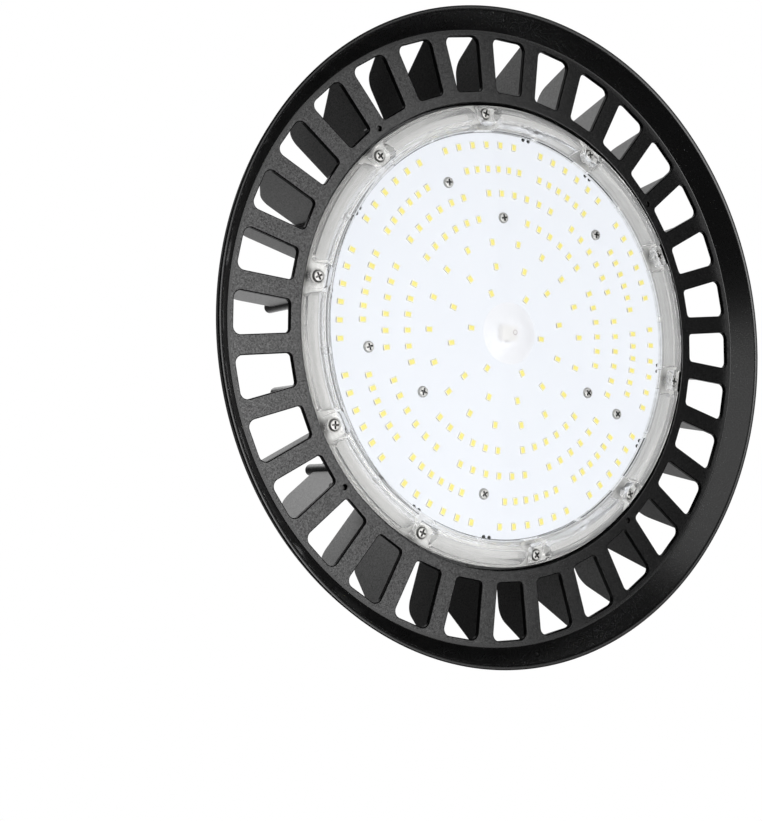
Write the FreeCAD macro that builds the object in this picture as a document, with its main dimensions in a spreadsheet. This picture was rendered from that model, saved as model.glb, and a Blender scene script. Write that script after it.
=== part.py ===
import FreeCAD, Part
import math
import os
import Sketcher

# High bay light, hung from an eye bolt with its light side down.
# Origin: centre of the rim's lower face. +Z is up, away from the light side.

V = FreeCAD.Vector
doc = FreeCAD.newDocument("HighBayLight")
sheet = doc.addObject("Spreadsheet::Sheet", "Sizes")
nodes = []

SIZES = (
    ("lip_radius", 158.6, "outer radius of the rim's lip"),
    ("lip_width", 2.6, "width of the lip's flat lower face"),
    ("lip_round", 0.7, "rounding of the lip's two edges"),
    ("rim_knee_level", 5.5, "height of the knee on the rim's outer wall"),
    ("rim_knee_inset", 1.5, "how far the knee lies inside the lip"),
    ("rim_knee_round", 5.5, "rounding of the knee"),
    ("rim_wall", 3.3, "rim wall where it meets the flange"),
    ("flange_radius", 149.2, "radius of the flat flange's outer corner"),
    ("flange_level", 11.5, "flange's lower face above the lip"),
    ("flange_thickness", 2.4, "flange plate"),
    ("slot_count", 32, "air slots through the flange, one fin between each two"),
    ("slot_inner_radius", 119, "inner end of the slots"),
    ("slot_outer_radius", 146, "outer end of the slots"),
    ("slot_inner_round", 2, "slot corner radius at the inner end"),
    ("slot_outer_round", 3.4, "slot corner radius at the outer end"),
    ("web_width", 9, "parallel web between two slots"),
    ("recess_radius", 113.5, "round recess that takes the cover and the board"),
    ("recess_depth", 4.5, "recess floor above the flange's lower face"),
    ("base_thickness", 6, "solid base over the board"),
    ("hub_radius", 118.5, "base's foot on the upper side of the flange"),
    ("hub_knee_inset", 1.5, "how far the base's outer wall leans in up to its knee"),
    ("hub_knee_height", 3.6, "knee of the base's outer wall above the flange"),
    ("hub_shoulder_radius", 112.4, "base's top edge"),
    ("fin_thickness", 2.2, "fin"),
    ("fin_inner_radius", 82, "inner end of the fins"),
    ("fin_slope", 31, "angle between a fin's outer edge and the axis"),
    ("fin_root", 1.2, "how deep a fin's foot is cast into flange and base"),
    ("fin_corner", 10, "rounding of a fin's upper outer corner"),
    ("fin_tip_round", 3, "rounding of a fin's upper inner corner"),
    ("tall_fin_level", 55, "upper edge of the tall fins"),
    ("short_fin_level", 38, "upper edge of the short fins"),
    ("column_circle", 104, "circle of the ejector columns on the tall fins"),
    ("column_radius", 2.75, "ejector column"),
    ("column_level", 63, "top of the ejector columns"),
    ("accessory_circle", 117.2, "circle of the four small holes for a reflector"),
    ("accessory_radius", 1.3, "small hole for a reflector screw"),
    ("accessory_depth", 8, "depth of the small holes"),
    ("accessory_boss_radius", 3.4, "boss over a small hole"),
    ("accessory_roof", 1.5, "boss over a small hole's end"),
    ("accessory_count", 4, "small holes"),
    ("lead_hole_radius", 6, "hole for the leads in the middle of the base"),
    ("gasket_inner_radius", 99.9, "cover gasket's inner radius"),
    ("gasket_width", 2.2, "cover gasket's section across"),
    ("gasket_groove", 1.5, "depth of the gasket's groove"),
    ("board_radius", 99, "light board"),
    ("board_thickness", 1.5, "light board"),
    ("board_hole_radius", 4, "hole for the leads in the board"),
    ("pad_thickness", 0.25, "thermal pad between board and base"),
    ("pad_radius", 99, "thermal pad"),
    ("bite_circle", 98.7, "circle of the snapped-off tabs' marks on the board's edge"),
    ("bite_radius", 0.7, "one mark"),
    ("bite_pitch", 3.2, "distance between a pair of marks"),
    ("chip_width", 2.8, "light chip along its ring"),
    ("chip_length", 3.5, "light chip across its ring"),
    ("chip_height", 0.65, "light chip"),
    ("first_ring_radius", 21, "innermost ring of chips"),
    ("ring_pitch", 12, "distance from ring to ring"),
    ("board_screw_outer_circle", 78.5, "five board screws"),
    ("board_screw_inner_circle", 57, "three board screws"),
    ("board_screw_radius", 1.5, "board screw's shank"),
    ("board_screw_head_radius", 2.7, "board screw's head"),
    ("board_screw_head", 1.3, "height of the board screw's head"),
    ("board_screw_length", 5.5, "board screw under its head"),
    ("cover_radius", 112.0, "clear cover's foot"),
    ("cover_foot", 4, "upright part of the cover's outer wall"),
    ("cover_drop", 5.4, "how far the cover's crest stands below the flange"),
    ("crest_outer_radius", 108.6, "crest's outer edge"),
    ("crest_inner_radius", 101.9, "crest's inner edge"),
    ("crest_inner_round", 1, "rounding of the crest's inner edge"),
    ("crest_outer_round", 1.8, "rounding of the crest's outer edge"),
    ("crest_wall", 1.5, "wall between the crest's outer edge and the hollow"),
    ("cover_bore_radius", 99.4, "inside of the cover's rim, round the board"),
    ("window_radius", 99.2, "flat window"),
    ("window_drop", 4.8, "window's lower face under the recess floor"),
    ("window_thickness", 1.6, "window"),
    ("cover_wall", 2.1, "cover's walls round the hollow in its rim"),
    ("hollow_inner_radius", 103.2, "hollow's inner wall at the recess floor"),
    ("dome_radius", 14.3, "dome in the middle of the window"),
    ("dome_height", 4.4, "dome below the window"),
    ("dome_flat", 5.5, "radius where the dome's cone and cap meet"),
    ("dome_round", 20, "radius of the dome's cap"),
    ("dome_inset", 0.4, "how far the dome's inside lies within its outside"),
    ("cover_screw_count", 10, "cover screws"),
    ("cover_screw_circle", 107.5, "circle of the cover screws"),
    ("cover_screw_radius", 1.75, "cover screw's shank"),
    ("cover_screw_head_radius", 3.5, "cover screw's head"),
    ("cover_screw_head", 1.9, "height of the cover screw's head"),
    ("cover_screw_length", 8, "cover screw under its head"),
    ("cover_lug", 3.4, "cover's thickness under a screw head"),
    ("pocket_inner_radius", 103.4, "inner end of the pocket round a screw head"),
    ("pocket_width", 11.4, "pocket round a screw head"),
    ("pocket_round", 3.2, "pocket's inner corners"),
    ("boss_angle", 4, "half the angle left solid at a cover screw"),
    ("screw_gap", 0.25, "clearance round a screw's shank"),
    ("screw_end_gap", 0.5, "blind screw hole beyond the screw's end"),
    ("cut_past", 1, "how far a cut runs past the faces that it opens"),
    ("join_depth", 0.5, "how far a joined form reaches into the one that carries it"),
    ("driver_gasket_thickness", 1.5, "gasket under the driver housing"),
    ("housing_radius", 68, "driver housing's outer wall"),
    ("housing_wall", 3.2, "driver housing's wall"),
    ("housing_top_level", 92, "driver housing's upper face"),
    ("housing_top_thickness", 4.5, "driver housing's top"),
    ("housing_chamfer", 4, "driver housing's top edge"),
    ("housing_foot_radius", 79, "driver housing's foot flange"),
    ("housing_foot_thickness", 4.5, "driver housing's foot flange"),
    ("housing_foot_round", 1.2, "rounding of the foot flange's upper edge"),
    ("housing_rib_count", 24, "cooling ribs round the driver housing"),
    ("housing_rib_height", 2.4, "how far a cooling rib stands out"),
    ("housing_rib_width", 2.4, "cooling rib"),
    ("housing_rib_foot", 2, "cooling rib's lower end over the foot flange"),
    ("housing_screw_count", 6, "driver housing's screws"),
    ("housing_screw_circle", 74.3, "circle of the driver housing's screws"),
    ("housing_screw_radius", 2, "driver housing screw's shank"),
    ("housing_screw_head_radius", 3.6, "driver housing screw's head"),
    ("housing_screw_head", 2.6, "height of the driver housing screw's head"),
    ("housing_screw_length", 10, "driver housing screw under its head"),
    ("eye_shank_radius", 5, "eye bolt's shank"),
    ("eye_shank_length", 13, "eye bolt's shank below its collar's washer"),
    ("eye_collar_radius", 10.5, "eye bolt's collar"),
    ("eye_collar_height", 5, "eye bolt's collar"),
    ("eye_collar_round", 2, "rounding of the collar's upper edge"),
    ("eye_ring_radius", 17, "middle of the eye's ring"),
    ("eye_wire_radius", 4, "wire of the eye's ring"),
    ("eye_sink", 1.5, "how deep the ring is forged into the collar"),
    ("eye_washer_thickness", 1.5, "rubber washer under the collar"),
    ("eye_nut_flats", 17, "nut inside, across flats"),
    ("eye_nut_height", 7, "nut inside"),
    ("gland_offset", 42, "cable gland from the axis"),
    ("gland_thread_radius", 10, "gland's thread through the housing"),
    ("gland_thread_length", 11, "gland's thread under its hexagon"),
    ("gland_flats", 24, "gland's hexagon, across flats"),
    ("gland_hexagon_height", 6, "gland's hexagon"),
    ("gland_washer_thickness", 1.5, "gland's rubber washer"),
    ("gland_neck_radius", 8.6, "gland's upper thread"),
    ("gland_neck_height", 8, "gland's upper thread"),
    ("gland_nut_height", 13, "gland's domed nut"),
    ("gland_nut_gap", 0.8, "open gap between hexagon and domed nut"),
    ("gland_nut_mouth", 6, "domed nut's mouth"),
    ("gland_nut_lip", 2, "domed nut's wall round its mouth"),
    ("gland_nut_skirt", 1, "hexagon's edge under the dome"),
    ("gland_nut_shoulder", 4, "dome's shoulder below its top"),
    ("gland_shoulder_round", 3, "rounding of the shoulder"),
    ("gland_mouth_land", 1.5, "flat ring round the mouth"),
    ("gland_mouth_round", 1, "rounding of the mouth's edge"),
    ("gland_seal_rise", 1, "rubber seal's foot over the hexagon"),
    ("gland_bore_radius", 7.2, "bore through the gland's body"),
    ("gland_seal_radius", 4.5, "bore of the rubber seal, for the mains cable"),
    ("gland_locknut_height", 5, "locknut inside the housing"),
    ("driver_board_radius", 58, "driver's board"),
    ("driver_board_thickness", 1.6, "driver's board"),
    ("driver_board_level", 34, "driver's board, lower face"),
    ("pillar_circle", 51, "circle of the driver board's pillars"),
    ("pillar_count", 4, "driver board's pillars"),
    ("pillar_radius", 3.2, "pillar"),
    ("driver_screw_radius", 1.5, "driver board screw's shank"),
    ("driver_screw_length", 8, "driver board screw under its head"),
    ("lead_radius", 1, "insulated lead between driver and light board"),
    ("lead_pitch", 3.4, "distance between the two leads"),
    ("grommet_flange_radius", 8.5, "flange of the grommet round the leads"),
    ("grommet_flange", 2, "thickness of the grommet's flange"),
    ("connector_length", 9, "connector on the light board"),
    ("connector_width", 7, "connector on the light board"),
    ("connector_height", 2.8, "connector on the light board"),
    ("connector_round", 0.8, "connector's upright edges"),
    ("core_length", 34, "transformer's core"),
    ("core_width", 12, "transformer's core"),
    ("core_height", 28, "transformer's core"),
    ("core_limb", 8, "transformer core's yoke"),
    ("winding_radius", 13, "transformer's winding"),
    ("winding_round", 3, "winding's upright edges"),
    ("capacitor_radius", 9, "smoothing capacitor"),
    ("capacitor_height", 30, "smoothing capacitor"),
    ("capacitor_count", 3, "smoothing capacitors"),
    ("capacitor_round", 1.2, "bevel round a capacitor's top"),
    ("capacitor_gap", 2, "gap between two capacitors"),
    ("capacitor_row", 21.6, "row of capacitors from the axis"),
    ("choke_radius", 13, "input choke's outer radius"),
    ("choke_hole_radius", 5, "input choke's hole"),
    ("choke_height", 12, "input choke"),
    ("component_gap", 4, "room between the transformer and its neighbours"),
    ("terminal_length", 22, "mains terminal block"),
    ("terminal_width", 12, "mains terminal block"),
    ("terminal_height", 14, "mains terminal block"),
)

# Levels and radii that follow from the sizes.
FLANGE_TOP = "(Sizes.flange_level + Sizes.flange_thickness)"
SEAT = "(Sizes.flange_level + Sizes.recess_depth)"
BASE_TOP = "(%s + Sizes.base_thickness)" % SEAT
RIM_BACK = "(Sizes.flange_radius + Sizes.rim_wall)"
BOARD_TOP = "(%s - Sizes.pad_thickness)" % SEAT
BOARD_FACE = "(%s - Sizes.board_thickness)" % BOARD_TOP
CREST = "(Sizes.flange_level - Sizes.cover_drop)"
WINDOW_FACE = "(%s - Sizes.window_drop)" % SEAT
WINDOW_BACK = "(%s + Sizes.window_thickness)" % WINDOW_FACE
HOUSING_FOOT = "(%s + Sizes.driver_gasket_thickness)" % BASE_TOP
HOUSING_FOOT_TOP = "(%s + Sizes.housing_foot_thickness)" % HOUSING_FOOT
HOUSING_INSIDE = "(Sizes.housing_radius - Sizes.housing_wall)"
HOUSING_CEILING = "(Sizes.housing_top_level - Sizes.housing_top_thickness)"
DRIVER_BOARD_TOP = "(Sizes.driver_board_level + Sizes.driver_board_thickness)"
EYE_COLLAR = "(Sizes.housing_top_level + Sizes.eye_washer_thickness)"
EYE_COLLAR_TOP = "(%s + Sizes.eye_collar_height)" % EYE_COLLAR
EYE_CENTRE = "(%s + Sizes.eye_ring_radius + Sizes.eye_wire_radius - Sizes.eye_sink)" % EYE_COLLAR_TOP
GLAND_SEAT = "(Sizes.housing_top_level + Sizes.gland_washer_thickness)"
GLAND_HEX_TOP = "(%s + Sizes.gland_hexagon_height)" % GLAND_SEAT
GLAND_NUT_FOOT = "(%s + Sizes.gland_nut_gap)" % GLAND_HEX_TOP
GLAND_NUT_TOP = "(%s + Sizes.gland_nut_height)" % GLAND_NUT_FOOT

# Angles about the axis, in degrees from +X.
WEB_ANGLE = "180 / Sizes.slot_count"
SHORT_WEB_ANGLE = "540 / Sizes.slot_count"
ACCESSORY_ANGLE = "9 * 180 / Sizes.slot_count"
COVER_SCREW_ANGLE = "10"
BOARD_SCREW_ANGLE = 28
OUTER_BOARD_SCREWS = 5
INNER_BOARD_SCREWS = 3
BITE_ANGLES = ("7", "31.5")
BITE_PAIRS = "4"

# Shares of a pan head: its bevel of the head's height, the cross recess's length and
# width of the head's radius, and the recess's depth of the head's height.
HEAD_BEVEL = 0.4
RECESS_LENGTH = 1.1
RECESS_WIDTH = 0.26
RECESS_DEPTH = 0.6

# Rings of chips from the middle out: places round the ring, the angle of a place that
# stays empty (or of the first chip), the length of the repeat, and its empty places.
CHIP_RINGS = (
    (6, 4.0, 1, ()),
    (12, 19.0, 1, ()),
    (18, 19.0, 1, ()),
    (48, 28.0, 16, (0, 1, 8, 15)),
    (56, 29.7, 7, (0,)),
    (80, 28.0, 16, (0, 1, 8, 15)),
    (70, 25.9, 7, (0,)),
)


def fill_sheet():
    """Write every size into the sheet under its alias."""
    for row, (alias, size, meaning) in enumerate(SIZES, start=1):
        sheet.set("A%d" % row, alias)
        sheet.set("B%d" % row, str(size))
        sheet.setAlias("B%d" % row, alias)
        sheet.set("C%d" % row, meaning)
    doc.recompute()


def number(text):
    """Value of an expression in the sheet's sizes."""
    return float(sheet.evalExpression(text))


def origin_feature(body, role):
    """A body's own plane or axis."""
    return next(item for item in body.Origin.OriginFeatures if item.Role == role)


def new_body(name):
    """Body whose label names the sub-part."""
    body = doc.addObject("PartDesign::Body", name)
    body.Label = name
    nodes.append(body)
    return body


def new_sketch(body, name, role="XY_Plane", turn=None, level=None):
    """Sketch on a body's own plane, turned about the lamp's axis or raised along it."""
    sketch = body.newObject("Sketcher::SketchObject", name)
    sketch.AttachmentSupport = [(origin_feature(body, role), "")]
    sketch.MapMode = "FlatFace"
    axis = V(0, 0, 1) if role == "XY_Plane" else V(0, 1, 0)
    angle = number(turn) if turn else 0
    height = number(level) if level else 0
    sketch.AttachmentOffset = FreeCAD.Placement(V(0, 0, height), FreeCAD.Rotation(axis, angle))
    if turn:
        sketch.setExpression("AttachmentOffset.Rotation.Angle", turn)
    if level:
        sketch.setExpression("AttachmentOffset.Base.z", level)
    return sketch


def bind(sketch, constraint, text):
    """Add a constraint whose value follows an expression."""
    index = sketch.addConstraint(constraint)
    sketch.setExpression("Constraints[%d]" % index, text)


def pin(sketch, geometry, point, x, y):
    """Hold a point of a sketch at two driven coordinates."""
    bind(sketch, Sketcher.Constraint("DistanceX", geometry, point, number(x)), x)
    bind(sketch, Sketcher.Constraint("DistanceY", geometry, point, number(y)), y)


def circle(sketch, radius, x="0", y="0"):
    """Driven circle."""
    centre = V(number(x), number(y), 0)
    index = sketch.addGeometry(Part.Circle(centre, V(0, 0, 1), number(radius)))
    pin(sketch, index, 3, x, y)
    bind(sketch, Sketcher.Constraint("Radius", index, number(radius)), radius)


def round_corner(sketch, corner, centre_way, lines, cuts, radius_text):
    """Arc between two lines, with the driven corner kept as a construction point."""
    radius = number(radius_text)
    start, end = cuts
    chord = (start + end) * 0.5
    centre = corner + centre_way * (math.hypot(radius, (start - corner).Length))
    middle = centre + (chord - centre).normalize() * radius
    arc = sketch.addGeometry(Part.Arc(start, middle, end))
    starts_here = sketch.getPoint(arc, 1).distanceToPoint(start) < 1e-6
    first, last = (1, 2) if starts_here else (2, 1)
    sketch.addConstraint(Sketcher.Constraint("Tangent", lines[0], 2, arc, first))
    sketch.addConstraint(Sketcher.Constraint("Tangent", arc, last, lines[1], 1))
    bind(sketch, Sketcher.Constraint("Radius", arc, radius), radius_text)
    return sketch.addGeometry(Part.Point(corner), True)


def outline(sketch, corners):
    """Closed outline through driven corners; a third value rounds the corner."""
    points = [V(number(corner[0]), number(corner[1]), 0) for corner in corners]
    count = len(points)
    cuts = []
    ways = []
    for index, corner in enumerate(corners):
        here = points[index]
        before = (points[index - 1] - here).normalize()
        after = (points[(index + 1) % count] - here).normalize()
        radius = number(corner[2]) if len(corner) > 2 else 0
        reach = radius / math.tan(before.getAngle(after) / 2)
        cuts.append((here + before * reach, here + after * reach))
        ways.append(before + after)
    lines = []
    for index in range(count):
        line = Part.LineSegment(cuts[index][1], cuts[(index + 1) % count][0])
        lines.append(sketch.addGeometry(line))
    for index, corner in enumerate(corners):
        pair = (lines[index - 1], lines[index])
        if len(corner) > 2:
            way = ways[index].normalize()
            point = round_corner(sketch, points[index], way, pair, cuts[index], corner[2])
            pin(sketch, point, 1, corner[0], corner[1])
            for line in pair:
                sketch.addConstraint(Sketcher.Constraint("PointOnObject", point, 1, line))
        else:
            sketch.addConstraint(Sketcher.Constraint("Coincident", pair[0], 2, pair[1], 1))
            pin(sketch, pair[1], 1, corner[0], corner[1])


def revolve(body, name, corners):
    """Solid turned about the axis from an outline of radius and height."""
    sketch = new_sketch(body, name + "Outline", "XZ_Plane")
    outline(sketch, corners)
    feature = body.newObject("PartDesign::Revolution", name)
    feature.Profile = sketch
    feature.ReferenceAxis = (sketch, ["V_Axis"])
    feature.Angle = 360
    body.Tip = feature
    return feature


def groove(body, name, corners, turn=None, sweep=None):
    """Turned cut, all round or over a driven angle centred on its sketch."""
    sketch = new_sketch(body, name + "Outline", "XZ_Plane", turn)
    outline(sketch, corners)
    feature = body.newObject("PartDesign::Groove", name)
    feature.Profile = sketch
    feature.ReferenceAxis = (sketch, ["V_Axis"])
    feature.Angle = 360
    if sweep:
        feature.Midplane = True
        feature.Angle = number(sweep)
        feature.setExpression("Angle", sweep)
    body.Tip = feature
    return feature


def pad(body, name, sketch, length, symmetric=False):
    """Extruded sketch."""
    feature = body.newObject("PartDesign::Pad", name)
    feature.Profile = sketch
    feature.Length = number(length)
    feature.setExpression("Length", length)
    feature.Midplane = symmetric
    body.Tip = feature
    return feature


def pocket(body, name, sketch, depth):
    """Cut that runs up from its sketch."""
    feature = body.newObject("PartDesign::Pocket", name)
    feature.Profile = sketch
    feature.Length = number(depth)
    feature.setExpression("Length", depth)
    feature.Reversed = True
    body.Tip = feature
    return feature


def pattern(body, name, feature, count):
    """Copies of one feature round the axis."""
    ring = body.newObject("PartDesign::PolarPattern", name)
    ring.Originals = [feature]
    ring.Axis = (origin_feature(body, "Z_Axis"), [""])
    ring.Angle = 360
    ring.Occurrences = int(number(count))
    ring.setExpression("Occurrences", count)
    body.Tip = ring
    return ring


def hole_ring(body, name, radius, circle_radius, count, level, depth, turn=None):
    """Ring of round holes that run up from a level."""
    sketch = new_sketch(body, name + "Outline", "XY_Plane", turn, level)
    circle(sketch, radius, circle_radius)
    feature = pocket(body, name, sketch, depth)
    return pattern(body, name + "Ring", feature, count)


def place(body, x=None, y=None):
    """Move a body off the axis by driven distances."""
    for key, text in (("x", x), ("y", y)):
        if text:
            body.setExpression("Placement.Base." + key, text)


def turned(name, corners, x=None, y=None):
    """Sub-part that is one turned solid, on the axis or beside it."""
    body = new_body(name)
    revolve(body, name + "_turning", corners)
    place(body, x, y)
    return body


def ring_section(inner, outer, low, high):
    """Rectangular section of a flat ring."""
    return [(inner, low), (outer, low), (outer, high), (inner, high)]


def hexagon(sketch, flats, bore=None):
    """Hexagon by its width across flats, with an optional round bore."""
    corners = []
    for index in range(6):
        angle = "(%d deg)" % (60 * index)
        reach = "%s / 2 / cos(30 deg)" % flats
        corners.append(("%s * cos%s" % (reach, angle), "%s * sin%s" % (reach, angle)))
    outline(sketch, corners)
    if bore:
        circle(sketch, bore)


def shape_node(name, shapes):
    """Sub-part that is a group of separate like solids."""
    feature = doc.addObject("Part::Feature", name)
    feature.Label = name
    feature.Shape = Part.makeCompound(shapes)
    nodes.append(feature)
    return feature


def polar(radius, degrees, height):
    """Point at a radius and an angle about the axis."""
    angle = math.radians(degrees)
    return V(radius * math.cos(angle), radius * math.sin(angle), height)


def pan_screw(head_radius, head_height, shank_radius, length, recess):
    """Pan head screw with its shank up along +Z and its head below the origin."""
    head = Part.makeCylinder(head_radius, head_height, V(0, 0, -head_height))
    rim = [edge for edge in head.Edges if edge.Closed and edge.CenterOfMass.z < -head_height / 2]
    screw = head.makeChamfer(head_height * HEAD_BEVEL, rim)
    screw = screw.fuse(Part.makeCylinder(shank_radius, length))
    if recess:
        arm = head_radius * RECESS_LENGTH
        slot = head_radius * RECESS_WIDTH
        depth = head_height * RECESS_DEPTH
        for size in ((arm, slot), (slot, arm)):
            corner = V(-size[0] / 2, -size[1] / 2, -head_height)
            screw = screw.cut(Part.makeBox(size[0], size[1], depth, corner))
    return screw.removeSplitter()


def screw_group(name, screw, spots, flip=False):
    """Like screws at their spots, head down, or head up when flipped."""
    turn = FreeCAD.Rotation(V(1, 0, 0), 180 if flip else 0)
    copies = []
    for spot in spots:
        copy = screw.copy()
        copy.Placement = FreeCAD.Placement(spot, turn)
        copies.append(copy)
    return shape_node(name, copies)


def make_heatsink():
    """Die-cast body: rim, slotted flange, base with recess, fins and ejector columns."""
    body = new_body("heatsink")
    revolve(body, "Casting", [
        ("Sizes.lead_hole_radius", SEAT),
        ("Sizes.recess_radius", SEAT),
        ("Sizes.recess_radius", "Sizes.flange_level"),
        ("Sizes.flange_radius", "Sizes.flange_level"),
        ("Sizes.lip_radius - Sizes.lip_width", "0", "Sizes.lip_round"),
        ("Sizes.lip_radius", "0", "Sizes.lip_round"),
        ("Sizes.lip_radius - Sizes.rim_knee_inset", "Sizes.rim_knee_level", "Sizes.rim_knee_round"),
        (RIM_BACK, FLANGE_TOP),
        ("Sizes.hub_radius", FLANGE_TOP),
        ("Sizes.hub_radius - Sizes.hub_knee_inset", FLANGE_TOP + " + Sizes.hub_knee_height"),
        ("Sizes.hub_shoulder_radius", BASE_TOP),
        ("Sizes.lead_hole_radius", BASE_TOP),
    ])
    cut_slots(body)
    add_fins(body, "TallFin", "Sizes.tall_fin_level", WEB_ANGLE)
    add_fins(body, "ShortFin", "Sizes.short_fin_level", SHORT_WEB_ANGLE)
    add_columns(body)
    add_accessory_bosses(body)
    cut_heatsink_holes(body)


def cut_slots(body):
    """Slots with parallel webs between them."""
    tangent = "tan(180 deg / Sizes.slot_count)"
    half_web = "Sizes.web_width / 2 / cos(180 deg / Sizes.slot_count)"
    near = "(Sizes.slot_inner_radius * %s - %s)" % (tangent, half_web)
    far = "(Sizes.slot_outer_radius * %s - %s)" % (tangent, half_web)
    sketch = new_sketch(body, "SlotOutline")
    outline(sketch, [
        ("Sizes.slot_inner_radius", "-" + near, "Sizes.slot_inner_round"),
        ("Sizes.slot_outer_radius", "-" + far, "Sizes.slot_outer_round"),
        ("Sizes.slot_outer_radius", far, "Sizes.slot_outer_round"),
        ("Sizes.slot_inner_radius", near, "Sizes.slot_inner_round"),
    ])
    slot = pocket(body, "Slot", sketch, FLANGE_TOP + " + Sizes.cut_past")
    pattern(body, "Slots", slot, "Sizes.slot_count")


def add_fins(body, name, level, turn):
    """Every other web carries a fin of this height."""
    slope = "tan(Sizes.fin_slope * 1 deg)"
    root = "(%s - Sizes.fin_root)" % FLANGE_TOP
    base_root = "(%s - Sizes.fin_root)" % BASE_TOP
    hub = "(Sizes.hub_radius - Sizes.fin_root)"
    shoulder = "(Sizes.hub_shoulder_radius - Sizes.fin_root)"
    edge = "(%s - (%s - %s) * %s)" % (RIM_BACK, level, FLANGE_TOP, slope)
    sketch = new_sketch(body, name + "Outline", "XZ_Plane", turn)
    outline(sketch, [
        ("Sizes.fin_inner_radius", base_root),
        (shoulder, base_root),
        (hub, root),
        (RIM_BACK + " - Sizes.fin_root / 2", root),
        (RIM_BACK, FLANGE_TOP),
        (edge, level, "Sizes.fin_corner"),
        ("Sizes.fin_inner_radius", level, "Sizes.fin_tip_round"),
    ])
    fin = pad(body, name, sketch, "Sizes.fin_thickness", symmetric=True)
    pattern(body, name + "s", fin, "Sizes.slot_count / 2")


def add_columns(body):
    """Round columns on the tall fins, where the ejector pins push."""
    level = "(%s - Sizes.fin_root)" % BASE_TOP
    sketch = new_sketch(body, "ColumnOutline", "XY_Plane", WEB_ANGLE, level)
    circle(sketch, "Sizes.column_radius", "Sizes.column_circle")
    column = pad(body, "Column", sketch, "Sizes.column_level - " + level)
    pattern(body, "Columns", column, "Sizes.slot_count / 2")


def add_accessory_bosses(body):
    """Bosses on the flange's upper side that take the reflector's screws."""
    root = "(%s - Sizes.fin_root)" % FLANGE_TOP
    sketch = new_sketch(body, "BossOutline", "XY_Plane", ACCESSORY_ANGLE, root)
    circle(sketch, "Sizes.accessory_boss_radius", "Sizes.accessory_circle")
    top = "(Sizes.flange_level + Sizes.accessory_depth + Sizes.accessory_roof)"
    boss = pad(body, "Boss", sketch, top + " - " + root)
    pattern(body, "Bosses", boss, "Sizes.accessory_count")


def cut_heatsink_holes(body):
    """Gasket groove, screw holes from both sides and the holes for a reflector."""
    outer = "(Sizes.gasket_inner_radius + Sizes.gasket_width)"
    groove(body, "GasketGroove", [
        ("Sizes.gasket_inner_radius", SEAT + " - Sizes.cut_past"),
        (outer, SEAT + " - Sizes.cut_past"),
        (outer, SEAT + " + Sizes.gasket_groove"),
        ("Sizes.gasket_inner_radius", SEAT + " + Sizes.gasket_groove"),
    ])
    cover_depth = "Sizes.cover_screw_length - Sizes.cover_lug + Sizes.screw_end_gap"
    hole_ring(body, "CoverScrewHole", "Sizes.cover_screw_radius", "Sizes.cover_screw_circle",
              "Sizes.cover_screw_count", SEAT, cover_depth, COVER_SCREW_ANGLE)
    board_depth = "Sizes.board_screw_length - Sizes.board_thickness - Sizes.pad_thickness" \
                  " + Sizes.screw_end_gap"
    turn = str(BOARD_SCREW_ANGLE)
    hole_ring(body, "OuterBoardScrewHole", "Sizes.board_screw_radius",
              "Sizes.board_screw_outer_circle", str(OUTER_BOARD_SCREWS), SEAT, board_depth, turn)
    hole_ring(body, "InnerBoardScrewHole", "Sizes.board_screw_radius",
              "Sizes.board_screw_inner_circle", str(INNER_BOARD_SCREWS), SEAT, board_depth, turn)
    housing_depth = "(Sizes.housing_screw_length - Sizes.housing_foot_thickness" \
                    " - Sizes.driver_gasket_thickness)"
    hole_ring(body, "HousingScrewHole", "Sizes.housing_screw_radius", "Sizes.housing_screw_circle",
              "Sizes.housing_screw_count", BASE_TOP + " - " + housing_depth,
              housing_depth + " + Sizes.cut_past")
    pillar_depth = "Sizes.base_thickness / 2"
    hole_ring(body, "PillarHole", "Sizes.driver_screw_radius", "Sizes.pillar_circle",
              "Sizes.pillar_count", BASE_TOP + " - " + pillar_depth, pillar_depth + " + Sizes.cut_past")
    hole_ring(body, "AccessoryHole", "Sizes.accessory_radius", "Sizes.accessory_circle",
              "Sizes.accessory_count", "Sizes.flange_level - Sizes.cut_past",
              "Sizes.accessory_depth + Sizes.cut_past",
              ACCESSORY_ANGLE)


def make_light_board():
    """Round board with its lead hole, screw holes and the marks of snapped-off tabs."""
    body = new_body("light_board")
    revolve(body, "Board", ring_section("Sizes.board_hole_radius", "Sizes.board_radius",
                                        BOARD_FACE, BOARD_TOP))
    radius = "Sizes.board_screw_radius + Sizes.screw_gap"
    level = BOARD_FACE + " - Sizes.cut_past"
    depth = "Sizes.board_thickness + 2 * Sizes.cut_past"
    hole_ring(body, "OuterScrewHole", radius, "Sizes.board_screw_outer_circle",
              str(OUTER_BOARD_SCREWS), level, depth, str(BOARD_SCREW_ANGLE))
    hole_ring(body, "InnerScrewHole", radius, "Sizes.board_screw_inner_circle",
              str(INNER_BOARD_SCREWS), level, depth, str(BOARD_SCREW_ANGLE))
    for index, turn in enumerate(BITE_ANGLES):
        sketch = new_sketch(body, "BiteOutline%d" % index, "XY_Plane", turn, level)
        for side in ("", "-"):
            circle(sketch, "Sizes.bite_radius", "Sizes.bite_circle", side + "Sizes.bite_pitch / 2")
        bite = pocket(body, "Bite%d" % index, sketch, depth)
        pattern(body, "Bites%d" % index, bite, BITE_PAIRS)


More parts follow.
